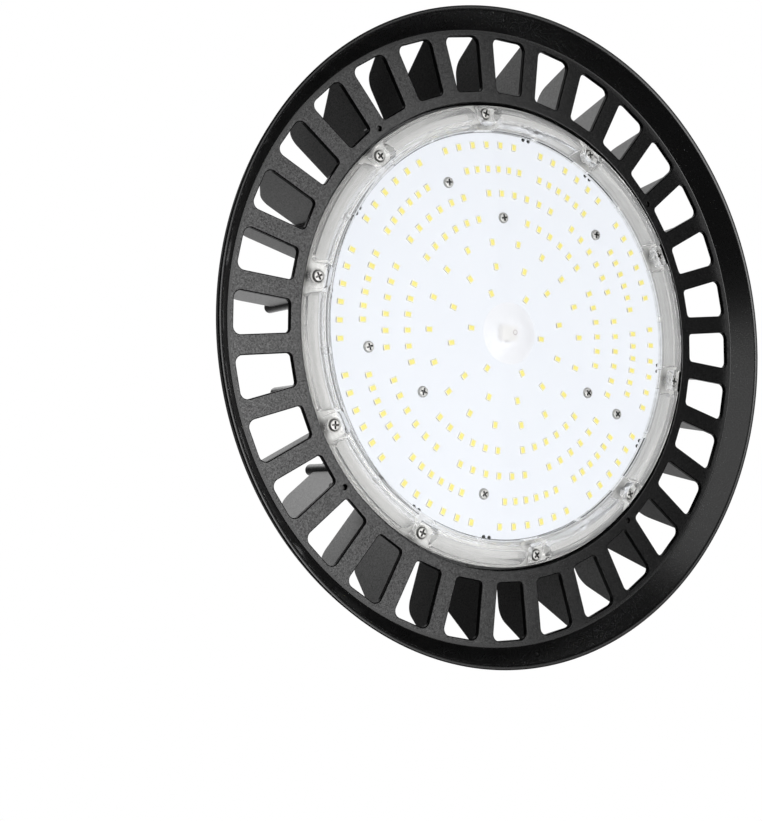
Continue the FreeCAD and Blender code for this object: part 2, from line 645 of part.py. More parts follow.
def make_thermal_pad():
    """Thin pad that carries the board's heat into the base."""
    body = new_body("thermal_pad")
    revolve(body, "Pad", ring_section("Sizes.lead_hole_radius", "Sizes.pad_radius",
                                      BOARD_TOP, SEAT))
    radius = "Sizes.board_screw_radius + Sizes.screw_gap"
    for name, circle_radius, count in (
            ("Outer", "Sizes.board_screw_outer_circle", OUTER_BOARD_SCREWS),
            ("Inner", "Sizes.board_screw_inner_circle", INNER_BOARD_SCREWS)):
        hole_ring(body, name + "ScrewHole", radius, circle_radius, str(count),
                  BOARD_TOP + " - Sizes.cut_past", "Sizes.pad_thickness + 2 * Sizes.cut_past",
                  str(BOARD_SCREW_ANGLE))


def make_chips():
    """One node for each ring of light chips, soldered on the board's lower face."""
    width = number("Sizes.chip_width")
    length = number("Sizes.chip_length")
    height = number("Sizes.chip_height")
    face = number(BOARD_FACE)
    chip = Part.makeBox(length, width, height, V(-length / 2, -width / 2, -height))
    for index, (places, start, block, empty) in enumerate(CHIP_RINGS):
        radius = number("Sizes.first_ring_radius + %d * Sizes.ring_pitch" % index)
        chips = []
        for place_index in range(places):
            if place_index % block in empty:
                continue
            angle = start + 360.0 * place_index / places
            copy = chip.copy()
            turn = FreeCAD.Rotation(V(0, 0, 1), angle)
            copy.Placement = FreeCAD.Placement(polar(radius, angle, face), turn)
            chips.append(copy)
        shape_node("light_chips_ring_%d" % (index + 1), chips)


def make_clear_cover():
    """Clear moulded cover: flat window, dome, hollow rim and pockets for the screws."""
    body = new_body("clear_cover")
    back_round = "(Sizes.dome_round - Sizes.window_thickness)"
    revolve(body, "Cover", [
        ("0", WINDOW_FACE + " - Sizes.dome_height"),
        ("Sizes.dome_flat", WINDOW_FACE + " - Sizes.dome_height", "Sizes.dome_round"),
        ("Sizes.dome_radius", WINDOW_FACE),
        ("Sizes.window_radius", WINDOW_FACE),
        ("Sizes.crest_inner_radius", CREST, "Sizes.crest_inner_round"),
        ("Sizes.crest_outer_radius", CREST, "Sizes.crest_outer_round"),
        ("Sizes.cover_radius", SEAT + " - Sizes.cover_foot"),
        ("Sizes.cover_radius", SEAT),
        ("Sizes.cover_bore_radius", SEAT),
        ("Sizes.cover_bore_radius", WINDOW_BACK),
        ("Sizes.dome_radius - Sizes.dome_inset", WINDOW_BACK),
        ("Sizes.dome_flat - Sizes.dome_inset", WINDOW_BACK + " - Sizes.dome_height", back_round),
        ("0", WINDOW_BACK + " - Sizes.dome_height"),
    ])
    hollow_cover_rim(body)
    sketch = new_sketch(body, "PocketOutline", "XY_Plane", COVER_SCREW_ANGLE)
    outer = "Sizes.cover_radius + 2 * Sizes.cut_past"
    outline(sketch, [
        ("Sizes.pocket_inner_radius", "-Sizes.pocket_width / 2", "Sizes.pocket_round"),
        (outer, "-Sizes.pocket_width / 2"),
        (outer, "Sizes.pocket_width / 2"),
        ("Sizes.pocket_inner_radius", "Sizes.pocket_width / 2", "Sizes.pocket_round"),
    ])
    notch = pocket(body, "ScrewPocket", sketch, SEAT + " - Sizes.cover_lug")
    pattern(body, "ScrewPockets", notch, "Sizes.cover_screw_count")
    hole_ring(body, "ScrewHole", "Sizes.cover_screw_radius + Sizes.screw_gap",
              "Sizes.cover_screw_circle", "Sizes.cover_screw_count", "0", SEAT + " + Sizes.cut_past",
              COVER_SCREW_ANGLE)


def hollow_cover_rim(body):
    """Hollow in the cover's rim, closed by a boss at each screw."""
    step = "360 / Sizes.cover_screw_count"
    sweep = "(%s - 2 * Sizes.boss_angle)" % step
    roof = "(%s + Sizes.cover_wall)" % CREST
    knee = "(%s - Sizes.cover_foot)" % SEAT
    section = [
        ("Sizes.hollow_inner_radius", SEAT + " + Sizes.cut_past"),
        ("Sizes.crest_inner_radius + Sizes.cover_wall", roof),
        ("Sizes.crest_outer_radius - Sizes.crest_wall", roof),
        ("Sizes.cover_radius - Sizes.cover_wall", knee),
        ("Sizes.cover_radius - Sizes.cover_wall", SEAT + " + Sizes.cut_past"),
    ]
    turn = "%s + %s / 2" % (COVER_SCREW_ANGLE, step)
    cut = groove(body, "RimHollow", section, turn, sweep)
    pattern(body, "RimHollows", cut, "Sizes.cover_screw_count")


def make_gaskets():
    """Gasket in its groove round the board, and the one under the driver housing."""
    turned("cover_gasket", ring_section(
        "Sizes.gasket_inner_radius", "(Sizes.gasket_inner_radius + Sizes.gasket_width)",
        SEAT, SEAT + " + Sizes.gasket_groove"))
    body = new_body("housing_gasket")
    revolve(body, "Gasket", ring_section(HOUSING_INSIDE, "Sizes.housing_foot_radius",
                                         BASE_TOP, HOUSING_FOOT))
    hole_ring(body, "ScrewHole", "Sizes.housing_screw_radius + Sizes.screw_gap",
              "Sizes.housing_screw_circle", "Sizes.housing_screw_count",
              BASE_TOP + " - Sizes.cut_past", "Sizes.driver_gasket_thickness + 2 * Sizes.cut_past")


def make_screws():
    """Cover screws, board screws, housing screws and the driver board's screws."""
    lug = number(SEAT + " - Sizes.cover_lug")
    screw = pan_screw(number("Sizes.cover_screw_head_radius"), number("Sizes.cover_screw_head"),
                      number("Sizes.cover_screw_radius"), number("Sizes.cover_screw_length"), True)
    count = int(number("Sizes.cover_screw_count"))
    start = number(COVER_SCREW_ANGLE)
    ring = number("Sizes.cover_screw_circle")
    spots = [polar(ring, start + 360.0 * index / count, lug) for index in range(count)]
    screw_group("cover_screws", screw, spots)

    face = number(BOARD_FACE)
    screw = pan_screw(number("Sizes.board_screw_head_radius"), number("Sizes.board_screw_head"),
                      number("Sizes.board_screw_radius"), number("Sizes.board_screw_length"), True)
    spots = []
    for circle_radius, count in (("Sizes.board_screw_outer_circle", OUTER_BOARD_SCREWS),
                                 ("Sizes.board_screw_inner_circle", INNER_BOARD_SCREWS)):
        for index in range(count):
            angle = BOARD_SCREW_ANGLE + 360.0 * index / count
            spots.append(polar(number(circle_radius), angle, face))
    screw_group("board_screws", screw, spots)

    screw = pan_screw(number("Sizes.housing_screw_head_radius"), number("Sizes.housing_screw_head"),
                      number("Sizes.housing_screw_radius"), number("Sizes.housing_screw_length"),
                      True)
    count = int(number("Sizes.housing_screw_count"))
    ring = number("Sizes.housing_screw_circle")
    level = number(HOUSING_FOOT_TOP)
    spots = [polar(ring, 360.0 * index / count, level) for index in range(count)]
    screw_group("housing_screws", screw, spots, flip=True)

    screw = pan_screw(number("Sizes.board_screw_head_radius"), number("Sizes.board_screw_head"),
                      number("Sizes.driver_screw_radius"), number("Sizes.driver_screw_length"),
                      False)
    count = int(number("Sizes.pillar_count"))
    ring = number("Sizes.pillar_circle")
    level = number(DRIVER_BOARD_TOP)
    spots = [polar(ring, 360.0 * index / count, level) for index in range(count)]
    screw_group("driver_screws", screw, spots, flip=True)


def make_driver_housing():
    """Cast cup over the driver, with cooling ribs, a foot flange and a closed top."""
    body = new_body("driver_housing")
    revolve(body, "Cup", [
        (HOUSING_INSIDE, HOUSING_FOOT),
        ("Sizes.housing_foot_radius", HOUSING_FOOT),
        ("Sizes.housing_foot_radius", HOUSING_FOOT_TOP, "Sizes.housing_foot_round"),
        ("Sizes.housing_radius", HOUSING_FOOT_TOP),
        ("Sizes.housing_radius", "Sizes.housing_top_level - Sizes.housing_chamfer"),
        ("Sizes.housing_radius - Sizes.housing_chamfer", "Sizes.housing_top_level"),
        ("0", "Sizes.housing_top_level"),
        ("0", HOUSING_CEILING),
        (HOUSING_INSIDE, HOUSING_CEILING),
    ])
    reach = "Sizes.housing_radius + Sizes.housing_rib_height"
    low = HOUSING_FOOT_TOP + " + Sizes.housing_rib_foot"
    high = "Sizes.housing_top_level - Sizes.housing_chamfer"
    sketch = new_sketch(body, "RibOutline", "XZ_Plane", "180 / Sizes.housing_rib_count")
    outline(sketch, [
        ("Sizes.housing_radius - Sizes.join_depth", low),
        (reach, low + " + Sizes.housing_rib_height"),
        (reach, high + " - Sizes.housing_rib_height"),
        ("Sizes.housing_radius - Sizes.join_depth", high),
    ])
    rib = pad(body, "Rib", sketch, "Sizes.housing_rib_width", symmetric=True)
    pattern(body, "Ribs", rib, "Sizes.housing_rib_count")
    hole_ring(body, "FootScrewHole", "Sizes.housing_screw_radius + Sizes.screw_gap",
              "Sizes.housing_screw_circle", "Sizes.housing_screw_count",
              HOUSING_FOOT + " - Sizes.cut_past",
              "Sizes.housing_foot_thickness + 2 * Sizes.cut_past")
    sketch = new_sketch(body, "TopHoleOutline", "XY_Plane", None,
                        HOUSING_CEILING + " - Sizes.cut_past")
    circle(sketch, "Sizes.eye_shank_radius")
    circle(sketch, "Sizes.gland_thread_radius", "Sizes.gland_offset")
    pocket(body, "TopHoles", sketch, "Sizes.housing_top_thickness + 2 * Sizes.cut_past")


def make_eye_bolt():
    """Forged eye bolt, its rubber washer and the nut that holds it from inside."""
    body = new_body("eye_bolt")
    revolve(body, "Shank", [
        ("0", EYE_COLLAR + " - Sizes.eye_shank_length"),
        ("Sizes.eye_shank_radius", EYE_COLLAR + " - Sizes.eye_shank_length"),
        ("Sizes.eye_shank_radius", EYE_COLLAR),
        ("Sizes.eye_collar_radius", EYE_COLLAR),
        ("Sizes.eye_collar_radius", EYE_COLLAR_TOP, "Sizes.eye_collar_round"),
        ("0", EYE_COLLAR_TOP),
    ])
    ring = body.newObject("PartDesign::AdditiveTorus", "EyeRing")
    ring.AttachmentSupport = [(origin_feature(body, "XZ_Plane"), "")]
    ring.MapMode = "FlatFace"
    ring.setExpression("AttachmentOffset.Base.y", EYE_CENTRE)
    ring.setExpression("Radius1", "Sizes.eye_ring_radius")
    ring.setExpression("Radius2", "Sizes.eye_wire_radius")
    body.Tip = ring
    turned("eye_bolt_washer", ring_section("Sizes.eye_shank_radius", "Sizes.eye_collar_radius",
                                           "Sizes.housing_top_level", EYE_COLLAR))
    body = new_body("eye_bolt_nut")
    sketch = new_sketch(body, "NutOutline", "XY_Plane", None,
                        HOUSING_CEILING + " - Sizes.eye_nut_height")
    hexagon(sketch, "Sizes.eye_nut_flats", "Sizes.eye_shank_radius")
    pad(body, "Nut", sketch, "Sizes.eye_nut_height")


def make_gland():
    """Cable gland: body, washer, locknut, rubber seal and domed nut."""
    body = new_body("gland_body")
    revolve(body, "Tube", [
        ("Sizes.gland_bore_radius", GLAND_SEAT + " - Sizes.gland_thread_length"),
        ("Sizes.gland_thread_radius", GLAND_SEAT + " - Sizes.gland_thread_length"),
        ("Sizes.gland_thread_radius", GLAND_HEX_TOP),
        ("Sizes.gland_neck_radius", GLAND_HEX_TOP),
        ("Sizes.gland_neck_radius", GLAND_HEX_TOP + " + Sizes.gland_neck_height"),
        ("Sizes.gland_bore_radius", GLAND_HEX_TOP + " + Sizes.gland_neck_height"),
    ])
    sketch = new_sketch(body, "HexagonOutline", "XY_Plane", None, GLAND_SEAT)
    hexagon(sketch, "Sizes.gland_flats", "(Sizes.gland_thread_radius - Sizes.join_depth)")
    pad(body, "Hexagon", sketch, "Sizes.gland_hexagon_height")
    place(body, "Sizes.gland_offset")

    turned("gland_washer", ring_section("Sizes.gland_thread_radius", "Sizes.gland_flats / 2",
                                        "Sizes.housing_top_level", GLAND_SEAT),
           "Sizes.gland_offset")

    body = new_body("gland_locknut")
    sketch = new_sketch(body, "LocknutOutline", "XY_Plane", None,
                        HOUSING_CEILING + " - Sizes.gland_locknut_height")
    hexagon(sketch, "Sizes.gland_flats", "Sizes.gland_thread_radius")
    pad(body, "Locknut", sketch, "Sizes.gland_locknut_height")
    place(body, "Sizes.gland_offset")

    seal_foot = GLAND_HEX_TOP + " + Sizes.gland_seal_rise"
    turned("gland_seal", ring_section("Sizes.gland_seal_radius", "Sizes.gland_bore_radius",
                                      seal_foot, GLAND_NUT_TOP + " - Sizes.gland_nut_lip"),
           "Sizes.gland_offset")

    body = new_body("gland_nut")
    neck = "Sizes.gland_neck_radius"
    skirt = GLAND_NUT_FOOT + " + Sizes.gland_nut_skirt"
    sketch = new_sketch(body, "NutOutline", "XY_Plane", None, GLAND_NUT_FOOT)
    hexagon(sketch, "Sizes.gland_flats", neck)
    pad(body, "NutHexagon", sketch, "Sizes.gland_nut_height / 2")
    revolve(body, "Dome", [
        (neck, skirt),
        ("Sizes.gland_flats / 2", skirt),
        ("Sizes.gland_flats / 2", GLAND_NUT_TOP + " - Sizes.gland_nut_shoulder",
         "Sizes.gland_shoulder_round"),
        ("Sizes.gland_nut_mouth + Sizes.gland_mouth_land", GLAND_NUT_TOP,
         "Sizes.gland_mouth_round"),
        ("Sizes.gland_nut_mouth", GLAND_NUT_TOP),
        ("Sizes.gland_nut_mouth", GLAND_NUT_TOP + " - Sizes.gland_nut_lip"),
        (neck, GLAND_NUT_TOP + " - Sizes.gland_nut_lip"),
    ])
    place(body, "Sizes.gland_offset")


def make_driver():
    """Driver inside the housing: board on pillars, and its main components."""
    body = new_body("driver_board")
    revolve(body, "Board", [
        ("0", "Sizes.driver_board_level"),
        ("Sizes.driver_board_radius", "Sizes.driver_board_level"),
        ("Sizes.driver_board_radius", DRIVER_BOARD_TOP),
        ("0", DRIVER_BOARD_TOP),
    ])
    hole_ring(body, "ScrewHole", "Sizes.driver_screw_radius + Sizes.screw_gap",
              "Sizes.pillar_circle", "Sizes.pillar_count",
              "Sizes.driver_board_level - Sizes.cut_past",
              "Sizes.driver_board_thickness + 2 * Sizes.cut_past")

    low = number(BASE_TOP)
    level = number("Sizes.driver_board_level")
    root = number("Sizes.base_thickness / 2")
    pillar = Part.makeCylinder(number("Sizes.pillar_radius"), level - low)
    pillar = pillar.fuse(Part.makeCylinder(number("Sizes.driver_screw_radius"), root, V(0, 0, -root)))
    reach = number("Sizes.driver_screw_length - Sizes.driver_board_thickness"
                   " + Sizes.screw_end_gap")
    pillar = pillar.cut(Part.makeCylinder(number("Sizes.driver_screw_radius"), reach,
                                          V(0, 0, level - low - reach)))
    count = int(number("Sizes.pillar_count"))
    ring = number("Sizes.pillar_circle")
    spots = [polar(ring, 360.0 * index / count, low) for index in range(count)]
    screw_group("driver_pillars", pillar.removeSplitter(), spots)
    make_transformer()
    make_board_parts()


def make_transformer():
    """Transformer: two yokes and a limb, with its winding round the limb."""
    body = new_body("transformer_core")
    half = "Sizes.core_length / 2"
    inner = "(Sizes.core_length / 2 - Sizes.core_limb)"
    leg = "Sizes.core_limb / 2"
    low = DRIVER_BOARD_TOP
    high = "(%s + Sizes.core_height)" % DRIVER_BOARD_TOP
    sketch = new_sketch(body, "CoreOutline", "XZ_Plane")
    outline(sketch, [
        ("-" + half, low),
        (half, low),
        (half, high),
        ("-" + half, high),
    ])
    for side in ("-", ""):
        outline(sketch, [
            (side + leg, low + " + Sizes.core_limb"),
            (side + inner, low + " + Sizes.core_limb"),
            (side + inner, high + " - Sizes.core_limb"),
            (side + leg, high + " - Sizes.core_limb"),
        ])
    pad(body, "Core", sketch, "Sizes.core_width", symmetric=True)
    place(body, None, "-Sizes.core_length / 2")

    body = new_body("transformer_winding")
    sketch = new_sketch(body, "WindingOutline", "XY_Plane", None, low + " + Sizes.core_limb")
    gap = "(Sizes.core_length / 2 - Sizes.core_limb)"
    outline(sketch, [
        ("-" + gap, "-Sizes.winding_radius", "Sizes.winding_round"),
        (gap, "-Sizes.winding_radius", "Sizes.winding_round"),
        (gap, "Sizes.winding_radius", "Sizes.winding_round"),
        ("-" + gap, "Sizes.winding_radius", "Sizes.winding_round"),
    ])
    outline(sketch, [
        ("-" + leg, "-Sizes.core_width / 2"),
        (leg, "-Sizes.core_width / 2"),
        (leg, "Sizes.core_width / 2"),
        ("-" + leg, "Sizes.core_width / 2"),
    ])
    pad(body, "Winding", sketch, "Sizes.core_height - 2 * Sizes.core_limb")
    place(body, None, "-Sizes.core_length / 2")


def make_board_parts():
    """Smoothing capacitors, input choke and the mains terminal block."""
    low = number(DRIVER_BOARD_TOP)
    radius = number("Sizes.capacitor_radius")
    can = Part.makeCylinder(radius, number("Sizes.capacitor_height"))
    top = [edge for edge in can.Edges if edge.Closed and edge.CenterOfMass.z > radius]
    can = can.makeChamfer(number("Sizes.capacitor_round"), top)
    count = int(number("Sizes.capacitor_count"))
    pitch = number("2 * Sizes.capacitor_radius + Sizes.capacitor_gap")
    row = number("Sizes.capacitor_row")
    spots = [V((index - (count - 1) / 2.0) * pitch, row, low) for index in range(count)]
    screw_group("smoothing_capacitors", can, spots)

    turned("input_choke", ring_section("Sizes.choke_hole_radius", "Sizes.choke_radius",
                                       DRIVER_BOARD_TOP, DRIVER_BOARD_TOP + " + Sizes.choke_height"),
           "-Sizes.core_length / 2 - Sizes.choke_radius - Sizes.component_gap")

    body = new_body("terminal_block")
    sketch = new_sketch(body, "BlockOutline", "XY_Plane", None, DRIVER_BOARD_TOP)
    outline(sketch, [
        ("-Sizes.terminal_width / 2", "-Sizes.terminal_length / 2"),
        ("Sizes.terminal_width / 2", "-Sizes.terminal_length / 2"),
        ("Sizes.terminal_width / 2", "Sizes.terminal_length / 2"),
        ("-Sizes.terminal_width / 2", "Sizes.terminal_length / 2"),
    ])
    pad(body, "Block", sketch, "Sizes.terminal_height")
    place(body, "Sizes.core_length / 2 + Sizes.terminal_width + Sizes.component_gap")


def make_leads():
    """Two leads from the driver to the connector on the light board, in their grommet."""
    for name, side in (("lead_positive", ""), ("lead_negative", "-")):
        turned(name, [
            ("0", BOARD_FACE),
            ("Sizes.lead_radius", BOARD_FACE),
            ("Sizes.lead_radius", "Sizes.driver_board_level"),
            ("0", "Sizes.driver_board_level"),
        ], side + "Sizes.lead_pitch / 2")

    body = new_body("lead_grommet")
    revolve(body, "Grommet", [
        ("0", SEAT),
        ("Sizes.lead_hole_radius", SEAT),
        ("Sizes.lead_hole_radius", BASE_TOP),
        ("Sizes.grommet_flange_radius", BASE_TOP),
        ("Sizes.grommet_flange_radius", BASE_TOP + " + Sizes.grommet_flange"),
        ("0", BASE_TOP + " + Sizes.grommet_flange"),
    ])
    sketch = new_sketch(body, "LeadHoleOutline", "XY_Plane", None, SEAT + " - Sizes.cut_past")
    for side in ("", "-"):
        circle(sketch, "Sizes.lead_radius", side + "Sizes.lead_pitch / 2")
    pocket(body, "LeadHoles", sketch,
           "Sizes.base_thickness + Sizes.grommet_flange + 2 * Sizes.cut_past")

    body = new_body("board_connector")
    sketch = new_sketch(body, "ConnectorOutline", "XY_Plane", None,
                        BOARD_FACE + " - Sizes.connector_height")
    outline(sketch, [
        ("-Sizes.connector_length / 2", "-Sizes.connector_width / 2", "Sizes.connector_round"),
        ("Sizes.connector_length / 2", "-Sizes.connector_width / 2", "Sizes.connector_round"),
        ("Sizes.connector_length / 2", "Sizes.connector_width / 2", "Sizes.connector_round"),
        ("-Sizes.connector_length / 2", "Sizes.connector_width / 2", "Sizes.connector_round"),
    ])
    pad(body, "Connector", sketch, "Sizes.connector_height")


def check_document():
    """Stop on a failed object, on a cut that cuts nothing and on a bad shape."""
    for item in doc.Objects:
        if "Invalid" in item.State or "Error" in item.State:
            raise RuntimeError("%s failed: %s" % (item.Name, item.State))
        if item.TypeId in ("PartDesign::Pocket", "PartDesign::Groove"):
            if item.Shape.Volume >= item.BaseFeature.Shape.Volume - 1e-6:
                raise RuntimeError("%s cuts nothing" % item.Name)
    for item in nodes:
        if item.Shape.isNull() or not item.Shape.isValid():
            raise RuntimeError("%s has a bad shape" % item.Label)


def export_parts():
    """One STEP file for each sub-part."""
    os.makedirs("parts", exist_ok=True)
    for item in nodes:
        item.Shape.exportStep("parts/%s.step" % item.Label)
        print(item.Label, len(item.Shape.Solids), "solids", round(item.Shape.Volume / 1000, 2), "cm3")


fill_sheet()
make_heatsink()
make_light_board()
make_thermal_pad()
make_chips()
make_clear_cover()
make_gaskets()
make_screws()
make_driver_housing()
make_eye_bolt()
make_gland()
make_driver()
make_leads()
doc.recompute()
check_document()
export_parts()
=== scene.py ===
import math

import bmesh
import bpy
from mathutils import Matrix, Vector
from mathutils.geometry import delaunay_2d_cdt


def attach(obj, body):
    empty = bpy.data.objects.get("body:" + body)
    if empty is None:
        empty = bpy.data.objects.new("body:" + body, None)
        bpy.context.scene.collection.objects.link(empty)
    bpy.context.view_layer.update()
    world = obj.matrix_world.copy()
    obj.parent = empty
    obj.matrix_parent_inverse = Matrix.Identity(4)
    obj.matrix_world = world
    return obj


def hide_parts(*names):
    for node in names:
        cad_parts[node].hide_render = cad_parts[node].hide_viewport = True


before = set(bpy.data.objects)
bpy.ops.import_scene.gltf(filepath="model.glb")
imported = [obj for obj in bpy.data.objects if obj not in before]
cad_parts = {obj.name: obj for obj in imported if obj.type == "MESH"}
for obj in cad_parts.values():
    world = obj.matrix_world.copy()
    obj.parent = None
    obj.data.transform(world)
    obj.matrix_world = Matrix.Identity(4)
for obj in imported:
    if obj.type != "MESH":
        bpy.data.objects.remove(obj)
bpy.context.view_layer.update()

# High bay light, light side down. Lengths are in millimetres unless a name says metres.
MM = 0.001
ROUND = 384
JOIN_DISTANCE = 0.002
ALL_TRIANGLES, SAME_POINT = 0, 1e-5

# Cast body.
LIP_RADIUS, LIP_WIDTH, LIP_ROUND, LIP_EDGE = 158.6, 2.1, 1.9, 0.7
RIM_KNEE, RIM_KNEE_LEVEL, RIM_KNEE_ROUND = 157.1, 5.5, 6.0
RIM_BACK = 152.5
FLANGE_RADIUS, FLANGE_LEVEL, FLANGE_TOP = 149.2, 11.5, 13.9
RECESS_RADIUS, RECESS_ROUND, TURNED_RADIUS, SEAT = 113.5, 0.4, 111.4, 16.0
BASE_TOP, HUB_FOOT, HUB_KNEE, HUB_SHOULDER = 22.0, 118.3, 117.0, 112.4
HUB_KNEE_LEVEL = 17.5
LEAD_HOLE = 6.0
GASKET_INNER, GASKET_OUTER, GASKET_TOP = 99.9, 102.1, 17.5
SLOTS, WEB_WIDTH = 32, 9.0
SLOT_INNER, SLOT_OUTER, SLOT_INNER_ROUND, SLOT_OUTER_ROUND = 119.0, 146.0, 2.0, 3.4
EDGE, BACK_EDGE = 0.45, 0.3
FIN_INNER, FIN_FOOT, FIN_CORNER, FIN_TIP_ROUND = 82.0, 1.2, 10.0, 3.0
FIN_HALF, FIN_TOP_HALF, FIN_EDGE = 1.2, 0.95, 0.5
TALL_FIN, SHORT_FIN = 55.0, 38.0
FIN_SLOPE = math.tan(math.radians(31))
COLUMN_CIRCLE, COLUMN_RADIUS, COLUMN_TOP = 104.0, 2.75, 63.0
COLUMN_DRAFT, COLUMN_ROUND = 0.2, 0.9
SMALL_HOLE_CIRCLE, SMALL_HOLE, SMALL_HOLE_DEPTH, SMALL_HOLE_EDGE = 117.2, 1.3, 8.0, 0.15
HOLE_BOSS_FOOT, HOLE_BOSS_RADIUS, HOLE_BOSS_ROOF, HOLE_BOSS_ROUND = 3.4, 3.2, 1.5, 0.8
FIRST_WEB = 180.0 / SLOTS
SMALL_HOLE_ANGLES = [FIRST_WEB * 9 + 90 * turn for turn in range(4)]

# Board, chips and board screws.
BOARD_RADIUS, BOARD_FACE, BOARD_TOP, BOARD_HOLE, BOARD_SCREW_HOLE = 99.0, 14.25, 15.75, 4.0, 1.75
BITE_CIRCLE, BITE_RADIUS, BITE_PITCH = 98.45, 1.05, 3.2
BITE_STARTS = (7.0, 31.5)
CHIP_WIDTH, CHIP_LENGTH, CHIP_HEIGHT = 2.8, 3.5, 0.65
CHIP_END_HALF, CHIP_END_REACH, CHIP_END_HEIGHT = 1.0, 0.18, 0.24

# Chip rings from the middle: places, first angle, places in a block, and places left empty in it.
CHIP_RINGS = (
    (6, 4.0, 1, ()),
    (12, 19.0, 1, ()),
    (18, 19.0, 1, ()),
    (48, 28.0, 16, (0, 1, 8, 15)),
    (56, 29.7, 7, (0,)),
    (80, 28.0, 16, (0, 1, 8, 15)),
    (70, 25.9, 7, (0,)),
)
FIRST_RING, RING_PITCH = 21.0, 12.0
BOARD_SCREWS = ((5, 78.5), (3, 57.0))
BOARD_SCREW_ANGLE = 28.0

# Clear cover and its screws.
CREST, WINDOW_FACE, WINDOW_BACK = 6.1, 11.2, 12.8
CREST_INNER, CREST_OUTER, WINDOW_RADIUS = 101.9, 108.6, 99.2
CREST_INNER_ROUND, CREST_OUTER_ROUND = 1.0, 6.0
COVER_RADIUS, COVER_KNEE, COVER_BORE = 112.0, 12.0, 99.4
COVER_WALL, HOLLOW_INNER = 2.1, 103.2
DOME_RADIUS, DOME_HEIGHT, DOME_FLAT, DOME_ROUND, DOME_WALL = 15.1, 4.4, 5.5, 20.0, 0.4
COVER_SCREWS, COVER_SCREW_CIRCLE, COVER_SCREW_ANGLE, COVER_SCREW_HOLE = 10, 107.5, 10.0, 2.0
COVER_LUG, POCKET_INNER, POCKET_WIDTH, POCKET_ROUND = 11.6, 102.9, 11.4, 3.2
HOLLOW_END, HOLLOW_CORNER = 7.2, 2.6
CHANNEL_INNER, CHANNEL_OUTER, CHANNEL_ROOF = 100.2, 101.8, 12.6
CHANNEL_END, CHANNEL_BREAK, CHANNEL_CORNER = 5.0, 1.3, 0.8
COUNTERBORE_RADIUS, COUNTERBORE_DEPTH = 4.7, 0.5
GATE_RADIUS, GATE_WIDTH, GATE_DEPTH = 1.1, 0.52, 0.2

# Screws: head radius, head height, shank radius, length. The cover's heads have a brim.
COVER_SCREW = (3.5, 1.7, 1.75, 8.0)
BOARD_SCREW = (2.7, 1.3, 1.5, 5.5)
HOUSING_SCREW = (3.6, 2.6, 2.0, 10.0)
SCREW_BRIM, BRIM_HEIGHT = 0.65, 0.5
CROSS_ARM, CROSS_HALF, CROSS_TAPER, CROSS_FLOOR = 0.66, 0.17, 0.55, 0.3

# Driver housing.
HOUSING_RADIUS, HOUSING_TOP, HOUSING_CHAMFER = 68.0, 92.0, 4.0
HOUSING_WALL, HOUSING_ROOF, HOUSING_ROUND = 3.2, 4.5, 1.5
HOUSING_FOOT, HOUSING_FOOT_RADIUS, HOUSING_FOOT_TOP = 23.5, 79.0, 28.0
HOUSING_RIBS, FIRST_RIB, RIB_HEIGHT, RIB_WIDTH, RIB_EDGE = 24, 7.5, 2.4, 2.4, 0.5
HOUSING_SCREWS, HOUSING_SCREW_CIRCLE = 6, 74.3

# The camera stands where the photograph's did; its view is turned and tilted from the lamp's axis.
IMAGE_WIDTH, IMAGE_HEIGHT = 762, 821
SENSOR = 36.0
FOCAL_PIXELS = 1450.0
LENS_CENTRE_X, LENS_CENTRE_Y = 485.6, 315.6
VIEW_TILT, VIEW_TURN = math.radians(35.96), math.radians(-9.80)
LAMP_RIGHT, LAMP_DOWN, LAMP_AWAY = 10.67, 8.73, 704.08
LAMP_LEVEL = 13.1

# Studio: a white backdrop over and behind the lamp, fading into a dim room.
WHITE = (1.0, 1.0, 1.0, 1.0)
ROOM_LEVEL = 0.28
DIM_LEVEL = 0.015
BACKDROP_WAY = (0.57, -0.15, 0.81)
BACKDROP_START, BACKDROP_END = 0.88, 0.42
FLOOR_LEVEL, FLOOR_CORE, FLOOR_RADIUS, FLOOR_FADE = -1700.0, 200.0, 600.0, 1000.0

# Lamps, in metres: name, place, width, height, brightness.
LAMP_TARGET = (0.0, 0.0, 0.02)
LAMPS = (
    ("key_below", (0.03, 0.24, -1.17), 0.66, 1.15, 4.7),
    ("key_side", (0.6, 0.05, -1.17), 0.42, 1.3, 1.7),
    ("fill_left", (-1.1, -0.92, -0.42), 2.5, 0.8, 1.2),
    ("top_back", (-0.35, -1.0, 1.2), 1.2, 0.9, 1.3),
    ("top_side", (-1.0, 1.1, 0.95), 1.2, 0.8, 1.2),
    ("side_right", (1.35, -0.35, 0.6), 1.2, 0.9, 1.8),
)


def polar(radius, degrees, height=0.0):
    """Point at a radius and an angle about the lamp's axis."""
    angle = math.radians(degrees)
    return (radius * math.cos(angle), radius * math.sin(angle), height)


def ring_angles(count, start=0.0):
    """Angles of like things spread evenly round the axis."""
    return [start + 360.0 * index / count for index in range(count)]


def quarter(steps):
    """Sine and cosine at each step of a quarter turn."""
    angles = [math.radians(90.0 * step / steps) for step in range(steps + 1)]
    return [(math.sin(angle), math.cos(angle)) for angle in angles]


def circle(size, steps=20, radius=0.0, degrees=0.0):
    """Outline of a circle whose middle is at a radius and an angle."""
    x, y, _ = polar(radius, degrees)
    return [(x + across, y + along) for across, along, _ in (polar(size, a) for a in ring_angles(steps))]


def turned(outline, degrees):
    """Flat outline turned about the axis."""
    angle = math.radians(degrees)
    cosine, sine = math.cos(angle), math.sin(angle)
    return [(x * cosine - y * sine, x * sine + y * cosine) for x, y in outline]


